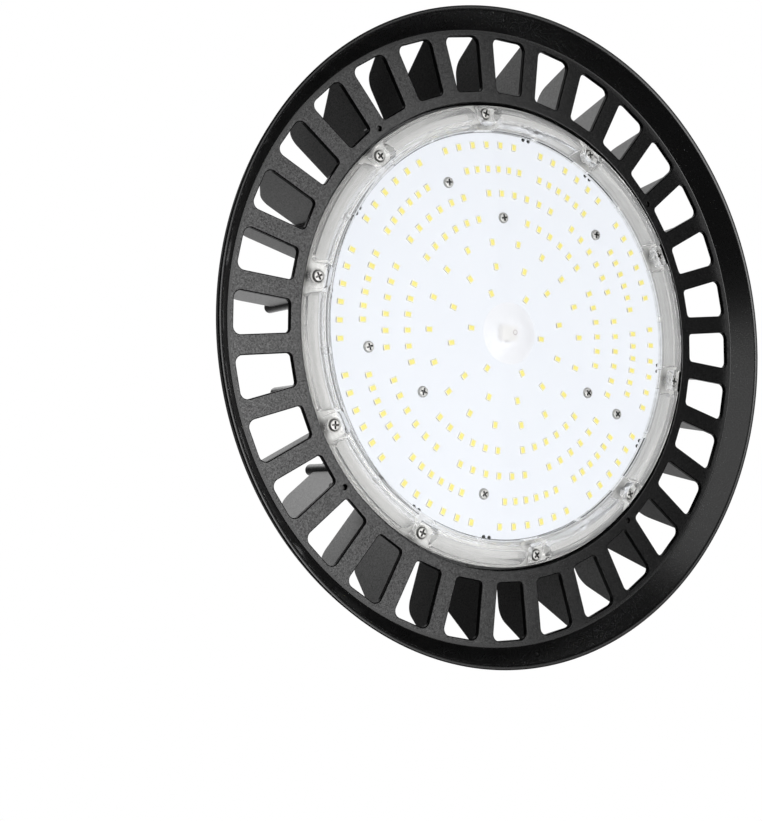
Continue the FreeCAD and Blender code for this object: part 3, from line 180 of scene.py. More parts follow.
def rounded(corners, steps=5, closed=True):
    """Points through corners (x, y) or (x, y, radius), with arcs at the rounded ones."""
    count = len(corners)
    points = []
    for index, corner in enumerate(corners):
        here = Vector(corner[:2])
        radius = corner[2] if len(corner) > 2 else 0.0
        at_end = not closed and index in (0, count - 1)
        if at_end or radius <= 0:
            points.append(tuple(here))
            continue
        before = (Vector(corners[index - 1][:2]) - here).normalized()
        after = (Vector(corners[(index + 1) % count][:2]) - here).normalized()
        half = before.angle(after) / 2
        reach = radius / math.tan(half)
        centre = here + (before + after).normalized() * (radius / math.sin(half))
        start, end = here + before * reach - centre, here + after * reach - centre
        sweep = math.pi - 2 * half
        side = 1 if start.x * end.y - start.y * end.x > 0 else -1
        for step in range(steps + 1):
            turn = Matrix.Rotation(side * sweep * step / steps, 2)
            points.append(tuple(centre + turn @ start))
    return points


def inset(points, distance):
    """Closed outline moved to its left side by a distance, corner by corner."""
    count = len(points)
    moved = []
    for index in range(count):
        here = Vector(points[index])
        ahead = (Vector(points[(index + 1) % count]) - here).normalized()
        behind = (here - Vector(points[index - 1])).normalized()
        left = Vector((-ahead.y - behind.y, ahead.x + behind.x))
        left.normalize()
        lean = max(0.3, left.dot(Vector((-ahead.y, ahead.x))))
        moved.append(tuple(here + left * (distance / lean)))
    return moved


def placed(degrees, radius=0.0, height=0.0, flip=False):
    """Placing at a radius and an angle, turned with it, and upside down when flipped."""
    turn = Matrix.Rotation(math.radians(degrees), 4, "Z")
    shift = Matrix.Translation((radius, 0, height))
    over = Matrix.Rotation(math.pi, 4, "X") if flip else Matrix.Identity(4)
    return turn @ shift @ over


class Form:
    """Points in millimetres and faces, each face with the number of its material."""

    def __init__(self):
        self.points, self.faces, self.kinds = [], [], []

    def loop(self, points):
        """Add points and return their numbers."""
        first = len(self.points)
        self.points.extend(points)
        return list(range(first, len(self.points)))

    def level(self, outline, height):
        """Add a flat outline's points at a height."""
        return self.loop([(x, y, height) for x, y in outline])

    def face(self, loop, kind=0):
        """Add one face."""
        self.faces.append(tuple(loop))
        self.kinds.append(kind)

    def bridge(self, loops, kind=0):
        """Join each loop to the next, of the same count, by quads."""
        for one, two in zip(loops, loops[1:]):
            for index in range(len(one)):
                ahead = (index + 1) % len(one)
                self.face((one[index], one[ahead], two[ahead], two[index]), kind)

    def block(self, loops, kind=0):
        """Join loops, and close the first and the last."""
        self.bridge(loops, kind)
        self.face(loops[0], kind)
        self.face(loops[-1], kind)
        return self

    def lathe(self, profile, kinds=None, segments=ROUND, closed=True):
        """Turn a profile of (radius, height) about the axis; a radius of 0 gives one point."""
        rings = [self.loop([polar(radius, angle, height) for angle in ring_angles(segments if radius else 1)])
                 for radius, height in profile]
        pairs = list(zip(rings, rings[1:] + rings[:1]))
        for index, (one, two) in enumerate(pairs if closed else pairs[:-1]):
            if len(one) == len(two) == 1:
                continue
            for step in range(segments):
                ahead = (step + 1) % segments
                corners = [ring[place % len(ring)] for ring, place in
                           ((one, step), (one, ahead), (two, ahead), (two, step))]
                self.face(dict.fromkeys(corners), kinds[index] if kinds else 0)

    def join(self, other, place=None):
        """Add another form's points, moved to a place if one is given, and its faces."""
        first = len(self.points)
        self.points.extend(tuple(place @ Vector(point)) if place else point for point in other.points)
        self.faces.extend(tuple(first + index for index in face) for face in other.faces)
        self.kinds.extend(other.kinds)

    def copies(self, places):
        """The same form once at each place."""
        result = Form()
        for place in places:
            result.join(self, place)
        return result

    def mesh(self, name):
        """Blender mesh in metres, with doubled points joined and faces turned outwards."""
        data = bpy.data.meshes.new(name)
        data.from_pydata([tuple(MM * value for value in point) for point in self.points], [], self.faces)
        data.polygons.foreach_set("material_index", self.kinds)
        work = bmesh.new()
        work.from_mesh(data)
        bmesh.ops.remove_doubles(work, verts=work.verts, dist=JOIN_DISTANCE * MM)
        bmesh.ops.recalc_face_normals(work, faces=work.faces)
        work.to_mesh(data)
        work.free()
        return data


def prism(outline, low, high):
    """Upright prism over a closed outline."""
    form = Form()
    return form.block([form.level(outline, height) for height in (low, high)])


def plate(outline, half, edge, steps):
    """Upright plate about the XZ plane, given by its outline and its half thickness at each height."""
    form = Form()
    rings = [(inset(outline, edge * (1 - sine)), edge * (1 - cosine)) for sine, cosine in quarter(steps)]
    sides = [(1, *ring) for ring in rings] + [(-1, *ring) for ring in reversed(rings)]
    return form.block([form.loop([(r, side * (half(z) - drop), z) for r, z in points])
                       for side, points, drop in sides])


def pierced_plate(form, outer, holes, height, kind=0):
    """Flat face at a height between closed outlines: the outer one and its holes."""
    points, loops = [], []
    for outline in [outer] + holes:
        first = len(points)
        points += [Vector(point) for point in outline]
        loops.append(list(range(first, len(points))))
    spots, _, triangles, _, _, owners = delaunay_2d_cdt(points, [], loops, ALL_TRIANGLES, SAME_POINT)
    numbers = form.level(spots, height)
    for triangle, within in zip(triangles, owners):
        # The outer outline is number 0; a triangle that lies in a hole too has more numbers.
        if within == [0]:
            form.face([numbers[index] for index in triangle], kind)


def add_object(name, data):
    """Put a new object with its data in the scene."""
    thing = bpy.data.objects.new(name, data)
    bpy.context.scene.collection.objects.link(thing)
    return thing


def smooth(data, sharp):
    """Shade a mesh smooth between edges that are sharper than an angle in degrees."""
    data.polygons.foreach_set("use_smooth", [True] * len(data.polygons))
    data.set_sharp_from_angle(angle=math.radians(sharp))


def dress(piece, replaced, sharp=32.0):
    smooth(piece.data, sharp)
    fair = piece.modifiers.new("fair", "WEIGHTED_NORMAL")
    fair.keep_sharp = True
    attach(piece, "root")
    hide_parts(replaced)


def coated(name, form, materials):
    """Object made from a form, with its materials."""
    piece = add_object(name, form.mesh(name))
    for material in materials:
        piece.data.materials.append(material)
    return piece


def build(name, form, materials, replaced, sharp=32.0):
    """Scene piece made from a form, in place of a CAD node."""
    dress(coated(name, form, materials), replaced, sharp)


def carve(name, form, cuts, materials):
    """Object made from a form, with each of the cutting forms taken out of it."""
    piece = coated(name, form, materials)
    tools = [add_object("%s_cut_%d" % (name, index), cut.mesh(name)) for index, cut in enumerate(cuts)]
    for tool in tools:
        step = piece.modifiers.new("cut", "BOOLEAN")
        step.object, step.operation, step.solver = tool, "DIFFERENCE", "EXACT"
    graph = bpy.context.evaluated_depsgraph_get()
    result = bpy.data.meshes.new_from_object(piece.evaluated_get(graph), depsgraph=graph)
    whole = piece.data
    piece.modifiers.clear()
    piece.data = result
    for data in [whole] + [tool.data for tool in tools]:
        bpy.data.meshes.remove(data)
    return piece


# Materials.

def add_node(tree, kind, sockets=(), **settings):
    """Add a shader node with its settings and sockets."""
    node = tree.nodes.new("ShaderNode" + kind)
    for name, value in settings.items():
        setattr(node, name, value)
    fill(tree, node, dict(sockets))
    return node


def fill(tree, node, sockets):
    """Give a node's sockets values, or links from other nodes' sockets."""
    for key, value in sockets.items():
        if isinstance(value, bpy.types.NodeSocket):
            tree.links.new(value, node.inputs[key])
        else:
            node.inputs[key].default_value = value


def mix(tree, share, one, two):
    """Mix of two shaders."""
    return add_node(tree, "MixShader", {"Fac": share, 1: one, 2: two}).outputs[0]


class Paint:
    """Material built round one Principled shader, in the part's own coordinates."""

    def __init__(self, name, colour, roughness=0.5, metallic=0.0, specular=0.5):
        self.material = bpy.data.materials.new(name)
        self.material.use_nodes = True
        self.tree = self.material.node_tree
        self.shader = self.tree.nodes["Principled BSDF"]
        self.colour = colour
        self.set({"Base Color": (*colour, 1.0), "Roughness": roughness, "Metallic": metallic,
                  "Specular IOR Level": specular})
        self.place = self.add("TexCoord").outputs["Object"]

    def add(self, kind, sockets=(), **settings):
        """Add a node to the material."""
        return add_node(self.tree, kind, sockets, **settings)

    def set(self, sockets):
        """Set or link the Principled shader's sockets."""
        fill(self.tree, self.shader, sockets)

    def show(self, share, other):
        """Show a mix of the Principled shader and another one."""
        surface = mix(self.tree, share, self.shader.outputs[0], other.outputs[0])
        fill(self.tree, self.tree.nodes["Material Output"], {"Surface": surface})

    def noise(self, size, detail=2.0, roughness=0.55, place=None):
        """Noise whose features are about size millimetres across."""
        return self.add("TexNoise", {"Scale": 1.0 / (size * MM), "Detail": detail, "Roughness": roughness,
                                     "Vector": place or self.place}).outputs["Fac"]

    def wave(self, pitch, distortion, detail, **settings):
        """Fine bands or rings a pitch apart in millimetres."""
        return self.add("TexWave", {"Scale": 1.0 / (pitch * MM) / 20.0, "Distortion": distortion,
                                    "Detail": detail, "Vector": self.place}, **settings).outputs["Fac"]

    def spread(self, source, low, high, start=0.3, end=0.7):
        """Map a texture onto a range of values."""
        return self.add("MapRange", {"Value": source, "From Min": start, "From Max": end,
                                     "To Min": low, "To Max": high}).outputs["Result"]

    def tint(self, source, dark, light, start=0.3, end=0.7):
        """Vary the colour between two tones."""
        node = self.add("ValToRGB", {"Fac": source})
        for stop, position, tone in zip(node.color_ramp.elements, (start, end), (dark, light)):
            stop.position, stop.color = position, (*tone, 1.0)
        self.set({"Base Color": node.outputs["Color"]})

    def shades(self, source, amount):
        """Vary the colour by a share either way."""
        self.tint(source, *([min(1.0, value * share) for value in self.colour]
                            for share in (1 - amount, 1 + amount)))

    def rough(self, source, low, high):
        """Vary the roughness."""
        self.set({"Roughness": self.spread(source, low, high)})

    def bump(self, source, height, strength=1.0):
        """Raise the surface by a height in millimetres."""
        node = self.add("Bump", {"Height": source, "Strength": strength, "Distance": height * MM})
        self.set({"Normal": node.outputs["Normal"]})


def powder_coat(name="powder_coat", dull=0.3, shiny=1.1, tone=0.001, rough=0.21):
    """Fine textured dark grey powder coat, its grain between dull and shiny."""
    paint = Paint(name, (tone, tone, tone))
    grain = paint.noise(0.75, 2.0, 0.7)
    paint.tint(grain, (tone, tone, tone * 1.1), (tone + 0.003, tone + 0.003, tone + 0.0031))
    paint.set({"Specular IOR Level": paint.spread(grain, dull, shiny)})
    paint.rough(paint.noise(0.5), rough, rough + 0.07)
    paint.bump(paint.noise(0.9, 2.0, 0.6), 0.025, 0.9)
    return paint.material


def satin_coat(name="satin_coat", specular=0.65, rough=0.25):
    """The same coat on the rim, thinner and smoother."""
    paint = Paint(name, (0.002, 0.002, 0.0021), specular=specular)
    paint.tint(paint.noise(0.7, 3.0, 0.6), (0.0015, 0.0015, 0.0016), (0.003, 0.003, 0.0031))
    paint.rough(paint.noise(0.6), rough, rough + 0.08)
    paint.bump(paint.noise(0.6, 2.0, 0.6), 0.015, 0.5)
    return paint.material


def machined_seat():
    """Bare aluminium, turned flat where board and cover lie."""
    paint = Paint("machined_seat", (0.54, 0.535, 0.52), metallic=0.6)
    rings = paint.wave(0.35, 1.5, 2.0, wave_type="RINGS", rings_direction="Z")
    paint.shades(rings, 0.05)
    paint.rough(paint.noise(4.0), 0.36, 0.5)
    paint.bump(rings, 0.006, 0.6)
    return paint.material


def board_mask():
    """White solder mask, slightly cool, with the copper's faint relief."""
    paint = Paint("board_mask", (0.88, 0.9, 0.95), specular=0.2)
    paint.tint(paint.noise(30.0), (0.875, 0.893, 0.945), (0.887, 0.905, 0.953))
    paint.rough(paint.noise(2.0), 0.45, 0.6)
    paint.bump(paint.noise(1.2), 0.01, 0.4)
    return paint.material


def board_core():
    """Sawn aluminium edge of the board."""
    paint = Paint("board_core", (0.62, 0.63, 0.63), metallic=1.0)
    sawn = paint.add("Mapping", {"Scale": (1, 1, 12), "Vector": paint.place}).outputs["Vector"]
    paint.rough(paint.noise(0.4, place=sawn), 0.3, 0.5)
    return paint.material


def chip_phosphor():
    """Yellow phosphor in clear silicone."""
    paint = Paint("chip_phosphor", (0.95, 0.84, 0.24), 0.4, specular=0.4)
    paint.tint(paint.noise(0.35, 3.0), (0.92, 0.79, 0.19), (0.97, 0.89, 0.31))
    paint.bump(paint.noise(0.4), 0.01, 0.4)
    return paint.material


def chip_package():
    """Pale moulded package round the phosphor."""
    paint = Paint("chip_package", (0.93, 0.89, 0.74), 0.45)
    paint.shades(paint.noise(0.5), 0.05)
    paint.bump(paint.noise(0.2), 0.004, 0.4)
    return paint.material


def tinned_pad():
    """Solder at a chip's two ends."""
    paint = Paint("tinned_pad", (0.6, 0.58, 0.54), 0.32, metallic=0.9)
    paint.shades(paint.noise(0.25), 0.2)
    paint.bump(paint.noise(0.2), 0.02, 0.6)
    return paint.material


def clear_plastic(name, colour, clear, roughness, ior, specular, wave=0.05):
    """Clear polycarbonate that lets lamps and scattered light through."""
    paint = Paint(name, colour, roughness, specular=specular)
    paint.set({"IOR": ior, "Transmission Weight": clear})
    paint.bump(paint.noise(7.0), wave, 0.3)
    path = paint.add("LightPath").outputs
    either = paint.add("Math", {0: path["Is Shadow Ray"], 1: path["Is Diffuse Ray"]}, operation="MAXIMUM")
    paint.show(either.outputs[0], paint.add("BsdfTransparent", {"Color": (0.95, 0.955, 0.955, 1.0)}))
    return paint.material


def bright_steel(name="bright_steel", tone=0.7, roughness=0.2, metallic=1.0):
    """Plated steel with fine scratches."""
    paint = Paint(name, (tone, tone * 0.99, tone * 0.96), metallic=metallic)
    paint.shades(paint.noise(1.0), 0.08)
    paint.rough(paint.noise(0.3, 3.0), roughness * 0.8, roughness * 1.6)
    paint.bump(paint.noise(0.15), 0.004, 0.5)
    return paint.material


def forged_steel():
    """Zinc-plated forging, a little uneven."""
    paint = Paint("forged_steel", (0.56, 0.57, 0.58), metallic=1.0)
    paint.shades(paint.noise(3.0, 3.0), 0.12)
    paint.rough(paint.noise(1.5, 3.0), 0.3, 0.5)
    paint.bump(paint.noise(1.8, 3.0), 0.08, 0.5)
    return paint.material


def soft_rubber(name, colour):
    """Moulded rubber with a dull skin."""
    paint = Paint(name, colour, specular=0.3)
    paint.shades(paint.noise(2.0, 3.0), 0.15)
    paint.rough(paint.noise(0.8), 0.62, 0.8)
    paint.bump(paint.noise(0.3), 0.02, 0.4)
    return paint.material


def moulded(name, colour, roughness=0.45):
    """Moulded plastic with a fine spark-eroded texture."""
    paint = Paint(name, colour)
    paint.shades(paint.noise(4.0, 3.0), 0.1)
    paint.rough(paint.noise(0.8), roughness * 0.85, roughness * 1.2)
    paint.bump(paint.noise(0.25), 0.015, 0.5)
    return paint.material


def wound_wire():
    """Turns of enamelled copper wire, darker in the grooves between turns: painted shade."""
    paint = Paint("wound_wire", (0.55, 0.22, 0.07), 0.3, metallic=0.8)
    turns = paint.wave(0.6, 0.4, 2.0, bands_direction="Z")
    # Darker where the bump is low, between the turns: painted shade.
    paint.shades(turns, 0.35)
    paint.bump(turns, 0.2, 0.8)
    return paint.material


def make_materials():
    """Every material by name."""
    return {
        "coat": powder_coat(),
        "satin": satin_coat(),
        # The rim's outer wall: the satin coat with its sheen taken out, painted shade.
        "rim_side": satin_coat("rim_side_painted_shade_coat", 0.02, 0.5),
        # The fins' copy of the coat: lighter in tone, painted light on the fins, with less sheen, painted
        # shade.
        "fin": powder_coat("fin_coat_painted_light", 0.22, 0.85, 0.003, 0.3),
        # Slot, recess and small hole walls: the coat darker and almost without sheen, painted shade.
        "wall": powder_coat("wall_painted_shade_coat", 0.0, 0.06, 0.0005),
        "seat": machined_seat(),
        "mask": board_mask(),
        "core": board_core(),
        "phosphor": chip_phosphor(),
        "package": chip_package(),
        "tin": tinned_pad(),
        "clear": clear_plastic("clear_plastic", (0.99, 0.993, 0.995), 1.0, 0.03, 1.12, 0.5),
        "milky": clear_plastic("moulded_rim_plastic", (0.9, 0.9, 0.9), 0.82, 0.05, 1.2, 1.0, 0.02),
        "inner": clear_plastic("inner_rim_plastic", (0.965, 0.97, 0.985), 0.92, 0.03, 1.17, 0.9, 0.015),
        "dome": clear_plastic("dome_plastic", (0.965, 0.962, 0.97), 0.75, 0.3, 1.25, 0.3),
        # The gate mark's ring in a darker plastic: painted shade in its groove.
        "gate": clear_plastic("gate_plastic_painted_shade", (0.66, 0.61, 0.63), 0.4, 0.3, 1.3, 0.3),
        "screw": bright_steel(),
        "cover_screw": bright_steel("cover_screw_steel", 0.62, 0.3, 0.55),
        "dull_screw": bright_steel("dull_screw", 0.46, 0.34, 0.8),
        # Cross recesses in darker copies of the screw steel: painted shade.
        "recess": bright_steel("recess_painted_shade_steel", 0.1, 0.3),
        "cover_recess": bright_steel("cover_recess_painted_shade_steel", 0.16, 0.22),
        # The cover screws' head shoulders in darker steel: painted shade.
        "screw_side": bright_steel("screw_shoulder_painted_shade_steel", 0.2, 0.35),
        "forged": forged_steel(),
        "rubber": soft_rubber("black_rubber", (0.02, 0.02, 0.021)),
        "silicone": soft_rubber("white_silicone", (0.84, 0.85, 0.88)),
        # The thermal pad near-black: painted shade in the board's edge bites and the gap round the board.
        "pad": soft_rubber("pad_painted_shade", (0.05, 0.05, 0.052)),
        "nylon": moulded("black_nylon", (0.018, 0.018, 0.019)),
        "white_plastic": moulded("white_plastic", (0.72, 0.71, 0.68), 0.35),
        "green_board": moulded("green_board", (0.02, 0.16, 0.06), 0.3),
        "green_plastic": moulded("green_plastic", (0.04, 0.26, 0.09)),
        "red_lead": moulded("red_lead", (0.5, 0.025, 0.02)),
        "black_lead": moulded("black_lead", (0.015, 0.015, 0.015)),
        "sleeve": moulded("capacitor_sleeve", (0.03, 0.04, 0.08), 0.3),
        "ferrite": moulded("ferrite", (0.04, 0.04, 0.043), 0.5),
        "brass": bright_steel("turned_brass", 0.6, 0.3),
        "wire": wound_wire(),
    }


# Cast body.

def slot_outline():
    """One slot's outline about +X, with straight webs beside it."""
    slope = math.tan(math.radians(FIRST_WEB))
    half_web = WEB_WIDTH / 2 / math.cos(math.radians(FIRST_WEB))
    near, far = SLOT_INNER * slope - half_web, SLOT_OUTER * slope - half_web
    return rounded([
        (SLOT_INNER, -near, SLOT_INNER_ROUND),
        (SLOT_OUTER, -far, SLOT_OUTER_ROUND),
        (SLOT_OUTER, far, SLOT_OUTER_ROUND),
        (SLOT_INNER, near, SLOT_INNER_ROUND),
    ], steps=7)


def make_casting(look):
    """Rim, slotted flange and base with its recess, all one casting."""
    coat, seat, satin, rim_side, wall = range(5)
    form = Form()
    rim = rounded([
        (FLANGE_RADIUS - 1.4, FLANGE_LEVEL),
        (FLANGE_RADIUS, FLANGE_LEVEL, 0.5),
        (LIP_RADIUS - LIP_WIDTH, 0.0, LIP_ROUND),
        (LIP_RADIUS, 0.0, LIP_EDGE),
        (RIM_KNEE, RIM_KNEE_LEVEL, RIM_KNEE_ROUND),
        (RIM_BACK, FLANGE_TOP, 0.7),
        (RIM_BACK - 1.6, FLANGE_TOP),
    ], steps=6, closed=False)
    # The rim's outer wall takes the copy of the satin coat without sheen: painted shade.
    kinds = [rim_side if radius > RIM_KNEE - 1 and (height > 1 or radius > LIP_RADIUS - LIP_EDGE) else satin
             for radius, height in rim]
    form.lathe(rim, kinds, closed=False)
    base = rounded([
        (RECESS_RADIUS + 1.2, FLANGE_LEVEL),
        (RECESS_RADIUS, FLANGE_LEVEL, EDGE),
        (RECESS_RADIUS, SEAT, RECESS_ROUND),
        (TURNED_RADIUS, SEAT),
        (GASKET_OUTER, SEAT),
        (GASKET_OUTER, GASKET_TOP),
        (GASKET_INNER, GASKET_TOP),
        (GASKET_INNER, SEAT),
        (LEAD_HOLE, SEAT),
        (LEAD_HOLE, BASE_TOP),
        (HUB_SHOULDER, BASE_TOP, 1.5),
        (HUB_KNEE, HUB_KNEE_LEVEL, 4.0),
        (HUB_FOOT, FLANGE_TOP),
    ], steps=5, closed=False)
    # The recess wall takes the darkened wall coat: painted shade.
    kinds = [seat if GASKET_OUTER - 0.1 < radius < TURNED_RADIUS + 0.1 and height < BASE_TOP - 1
             else wall if -0.3 < radius - RECESS_RADIUS < 0.1 else coat for radius, height in base]
    form.lathe(base, kinds, closed=False)

    slot, turns, bend = slot_outline(), ring_angles(SLOTS), quarter(6)
    levels = [(EDGE * (1 - sine), FLANGE_LEVEL + EDGE * (1 - cosine)) for sine, cosine in bend]
    levels += [(BACK_EDGE * (1 - cosine), FLANGE_TOP - BACK_EDGE * (1 - sine)) for sine, cosine in bend]
    # Slot walls take the darkened wall coat: painted shade.
    for degrees in turns:
        form.bridge([form.level(turned(inset(slot, -distance), degrees), height)
                     for distance, height in levels], wall)

    narrow, wide = ([circle(size, 20, SMALL_HOLE_CIRCLE, angle) for angle in SMALL_HOLE_ANGLES]
                    for size in (SMALL_HOLE, SMALL_HOLE + SMALL_HOLE_EDGE))
    for end, height, small in ((0, FLANGE_LEVEL, wide), (-1, FLANGE_TOP, [])):
        slots = [turned(inset(slot, -levels[end][0]), degrees) for degrees in turns]
        pierced_plate(form, circle(rim[end][0], ROUND), [circle(base[end][0], ROUND)] + slots + small, height)
    # Small hole walls and floors take the darkened wall coat: painted shade.
    for outer, inner in zip(wide, narrow):
        mouth, neck, floor = (form.level(outline, FLANGE_LEVEL + depth) for outline, depth in (
            (outer, 0.0), (inner, SMALL_HOLE_EDGE), (inner, SMALL_HOLE_DEPTH)))
        form.bridge([mouth, neck])
        form.bridge([neck, floor], wall)
        form.face(floor, wall)
    coats = [look[key] for key in ("coat", "seat", "satin", "rim_side", "wall")]
    build("heatsink_casting", form, coats, "heatsink", sharp=40)


def fin_form(level):
    """One fin, with draft and rounded edges."""
    outline = rounded([
        (FIN_INNER, BASE_TOP - FIN_FOOT),
        (HUB_SHOULDER - FIN_FOOT, BASE_TOP - FIN_FOOT),
        (HUB_FOOT - FIN_FOOT, FLANGE_TOP - FIN_FOOT),
        (RIM_BACK - FIN_FOOT, FLANGE_TOP - FIN_FOOT),
        (RIM_BACK, FLANGE_TOP),
        (RIM_BACK - (level - FLANGE_TOP) * FIN_SLOPE, level, FIN_CORNER),
        (FIN_INNER, level, FIN_TIP_ROUND),
    ], steps=8)

    def half_at(height):
        return FIN_HALF + (FIN_TOP_HALF - FIN_HALF) * (height - FLANGE_TOP) / (TALL_FIN - FLANGE_TOP)

    return plate(outline, half_at, FIN_EDGE, 6)


def make_fins(look):
    """Tall and short fins in turn, one on each web, the columns on the tall ones, and the holes' bosses."""
    webs = ring_angles(SLOTS // 2, FIRST_WEB)
    # The fins take the lightened copy of the coat: painted light.
    for name, level, turn in (("tall", TALL_FIN, 0.0), ("short", SHORT_FIN, 2 * FIRST_WEB)):
        form = fin_form(level).copies([placed(angle + turn) for angle in webs])
        build("heatsink_%s_fins" % name, form, [look["fin"]], "heatsink", sharp=50)

    column, boss = Form(), Form()
    column.lathe(rounded([
        (0.0, BASE_TOP - FIN_FOOT),
        (COLUMN_RADIUS + COLUMN_DRAFT, BASE_TOP - FIN_FOOT),
        (COLUMN_RADIUS, COLUMN_TOP, COLUMN_ROUND),
        (0.0, COLUMN_TOP),
    ], steps=4, closed=False), segments=24, closed=False)
    foot, bore = FLANGE_TOP - 0.6, SMALL_HOLE + 0.4
    top = FLANGE_LEVEL + SMALL_HOLE_DEPTH + HOLE_BOSS_ROOF
    boss.lathe(rounded([
        (bore, foot),
        (HOLE_BOSS_FOOT, foot),
        (HOLE_BOSS_RADIUS, top, HOLE_BOSS_ROUND),
        (0.0, top),
        (0.0, top - 1.0),
        (bore, top - 1.0),
    ], steps=4), segments=28)
    form = column.copies([placed(angle, COLUMN_CIRCLE) for angle in webs])
    form.join(boss.copies([placed(angle, SMALL_HOLE_CIRCLE) for angle in SMALL_HOLE_ANGLES]))
    build("heatsink_columns", form, [look["coat"]], "heatsink", sharp=50)


# Board, chips and screws.

def board_outline():
    """The board's edge, with the round bites that its snapped-off tabs left."""
    offset = math.degrees(math.asin(BITE_PITCH / 2 / BITE_CIRCLE))
    bites = [(start + 90 * turn + side * offset) % 360
             for start in BITE_STARTS for turn in range(4) for side in (-1, 1)]
    cosine = ((BITE_CIRCLE ** 2 + BOARD_RADIUS ** 2 - BITE_RADIUS ** 2)
              / (2 * BITE_CIRCLE * BOARD_RADIUS))
    half = math.degrees(math.acos(cosine))
    marks = [(angle, False) for angle in ring_angles(ROUND)
             if all(abs((angle - bite + 180) % 360 - 180) > half for bite in bites)]
    outline = []
    for angle, bitten in sorted(marks + [(bite, True) for bite in bites]):
        if not bitten:
            outline.append(polar(BOARD_RADIUS, angle)[:2])
            continue
        centre = Vector(polar(BITE_CIRCLE, angle)[:2])
        first, last = (Vector(polar(BOARD_RADIUS, angle + side * half)[:2]) - centre for side in (-1, 1))
        sweep = 2 * math.pi - first.angle(last)
        outline += [tuple(centre + Matrix.Rotation(-sweep * step / 8, 2) @ first) for step in range(9)]
    return outline


def make_board(look):
    """Round board with its lead hole, screw holes and bitten edge."""
    form = Form()
    outline = board_outline()
    holes = [circle(BOARD_HOLE, 48)]
    for count, radius in BOARD_SCREWS:
        holes += [circle(BOARD_SCREW_HOLE, 24, radius, angle)
                  for angle in ring_angles(count, BOARD_SCREW_ANGLE)]
    pierced_plate(form, outline, holes, BOARD_FACE, 0)
    pierced_plate(form, outline, holes, BOARD_TOP, 1)
    for loop in [outline] + holes:
        form.bridge([form.level(loop, BOARD_FACE), form.level(loop, BOARD_TOP)], 1)
    build("board_plate", form, [look["mask"], look["core"]], "light_board")


def chip_form():
    """One light chip, face down, with its recessed phosphor and tinned ends."""
    form = Form()
    half_long, half_wide = CHIP_LENGTH / 2, CHIP_WIDTH / 2
    rings = []
    for margin, height, corner in (
            (0.04, 0.0, 0.1), (0.0, -0.1, 0.1), (0.0, 0.08 - CHIP_HEIGHT, 0.12),
            (0.06, -CHIP_HEIGHT, 0.16), (0.3, -CHIP_HEIGHT, 0.35), (0.38, 0.12 - CHIP_HEIGHT, 0.35)):
        x, y = half_long - margin, half_wide - margin
        rings.append(form.level(rounded(
            [(-x, -y, corner), (x, -y, corner), (x, y, corner), (-x, y, corner)], steps=3), height))
    form.bridge(rings, 1)
    form.face(rings[-1], 0)
    form.face(rings[0], 1)
    for side in (-1, 1):
        edge, out = side * half_long, side * CHIP_END_REACH
        loops = []
        for reach, near, far, height in ((1.0, 0.0, 0.05, 0.0), (0.25, 0.1, 0.1, -CHIP_END_HEIGHT)):
            back, front = edge - out, edge + out * reach
            near, far = CHIP_END_HALF - near, CHIP_END_HALF - far
            loops.append(form.level([(back, -near), (front, -far), (front, far), (back, near)], height))
        form.block(loops, 2)
    return form


def make_chips(look):
    """Seven rings of chips on the board's lower face."""
    chip = chip_form()
    parts = [look["phosphor"], look["package"], look["tin"]]
    for index, (places, start, block, empty) in enumerate(CHIP_RINGS):
        radius = FIRST_RING + RING_PITCH * index
        form = chip.copies([placed(angle, radius, BOARD_FACE)
                            for place, angle in enumerate(ring_angles(places, start))
                            if place % block not in empty])
        name = "chips_ring_%d" % (index + 1)
        build(name, form, parts, "light_" + name, sharp=45)


def screw_object(name, materials, sizes, brim):
    """Pan head screw, head down, with a tapered cross recess and a brim where it has one."""
    head_radius, head_height, shank, length = sizes
    crown = head_radius - brim
    head = [(crown * 0.86, -head_height, head_height * 0.42),
            (crown, -head_height * 0.3, head_height * 0.3), (crown, 0.0)]
    if brim:
        head = [(crown * 0.76, -head_height, 0.5), (crown, -BRIM_HEIGHT, 0.1),
                (head_radius, -BRIM_HEIGHT, 0.15), (head_radius, 0.0)]
    profile = rounded([
        (0.0, -head_height),
        *head,
        (shank, 0.0),
        (shank, length - 0.5),
        (shank - 0.5, length),
        (0.0, length),
    ], steps=5, closed=False)
    # Kind 2, the shoulder of a brimmed head, takes a darker steel: painted shade.
    kinds = [2 if brim and -head_height * 0.9 < height < -BRIM_HEIGHT - 0.005 else 0 for _, height in profile]
    form, cross = Form(), Form()
    form.lathe(profile, kinds, segments=48, closed=False)
    arm, half = crown * CROSS_ARM, crown * CROSS_HALF
    outline = [(half, half), (half, arm), (-half, arm), (-half, half), (-arm, half), (-arm, -half),
               (-half, -half), (-half, -arm), (half, -arm), (half, -half), (arm, -half), (arm, half)]
    floor = [(x * CROSS_TAPER, y * CROSS_TAPER) for x, y in outline]
    # The cross recess takes a darker steel: painted shade.
    cross.block([cross.level(outline, -head_height - 0.1), cross.level(floor, -head_height * CROSS_FLOOR)], 1)
    return carve(name, form, [cross], materials)


def make_screw_set(name, places, sizes, materials, brim=0.0):
    """One finished screw copied to each place, as one piece."""
    screw = screw_object(name, materials, sizes, brim).data
    source = Form()
    source.points = [tuple(value / MM for value in vertex.co) for vertex in screw.vertices]
    source.faces = [tuple(face.vertices) for face in screw.polygons]
    source.kinds = [face.material_index for face in screw.polygons]
    bpy.data.meshes.remove(screw)
    build(name + "_set", source.copies(places), materials, name + "s", sharp=35)


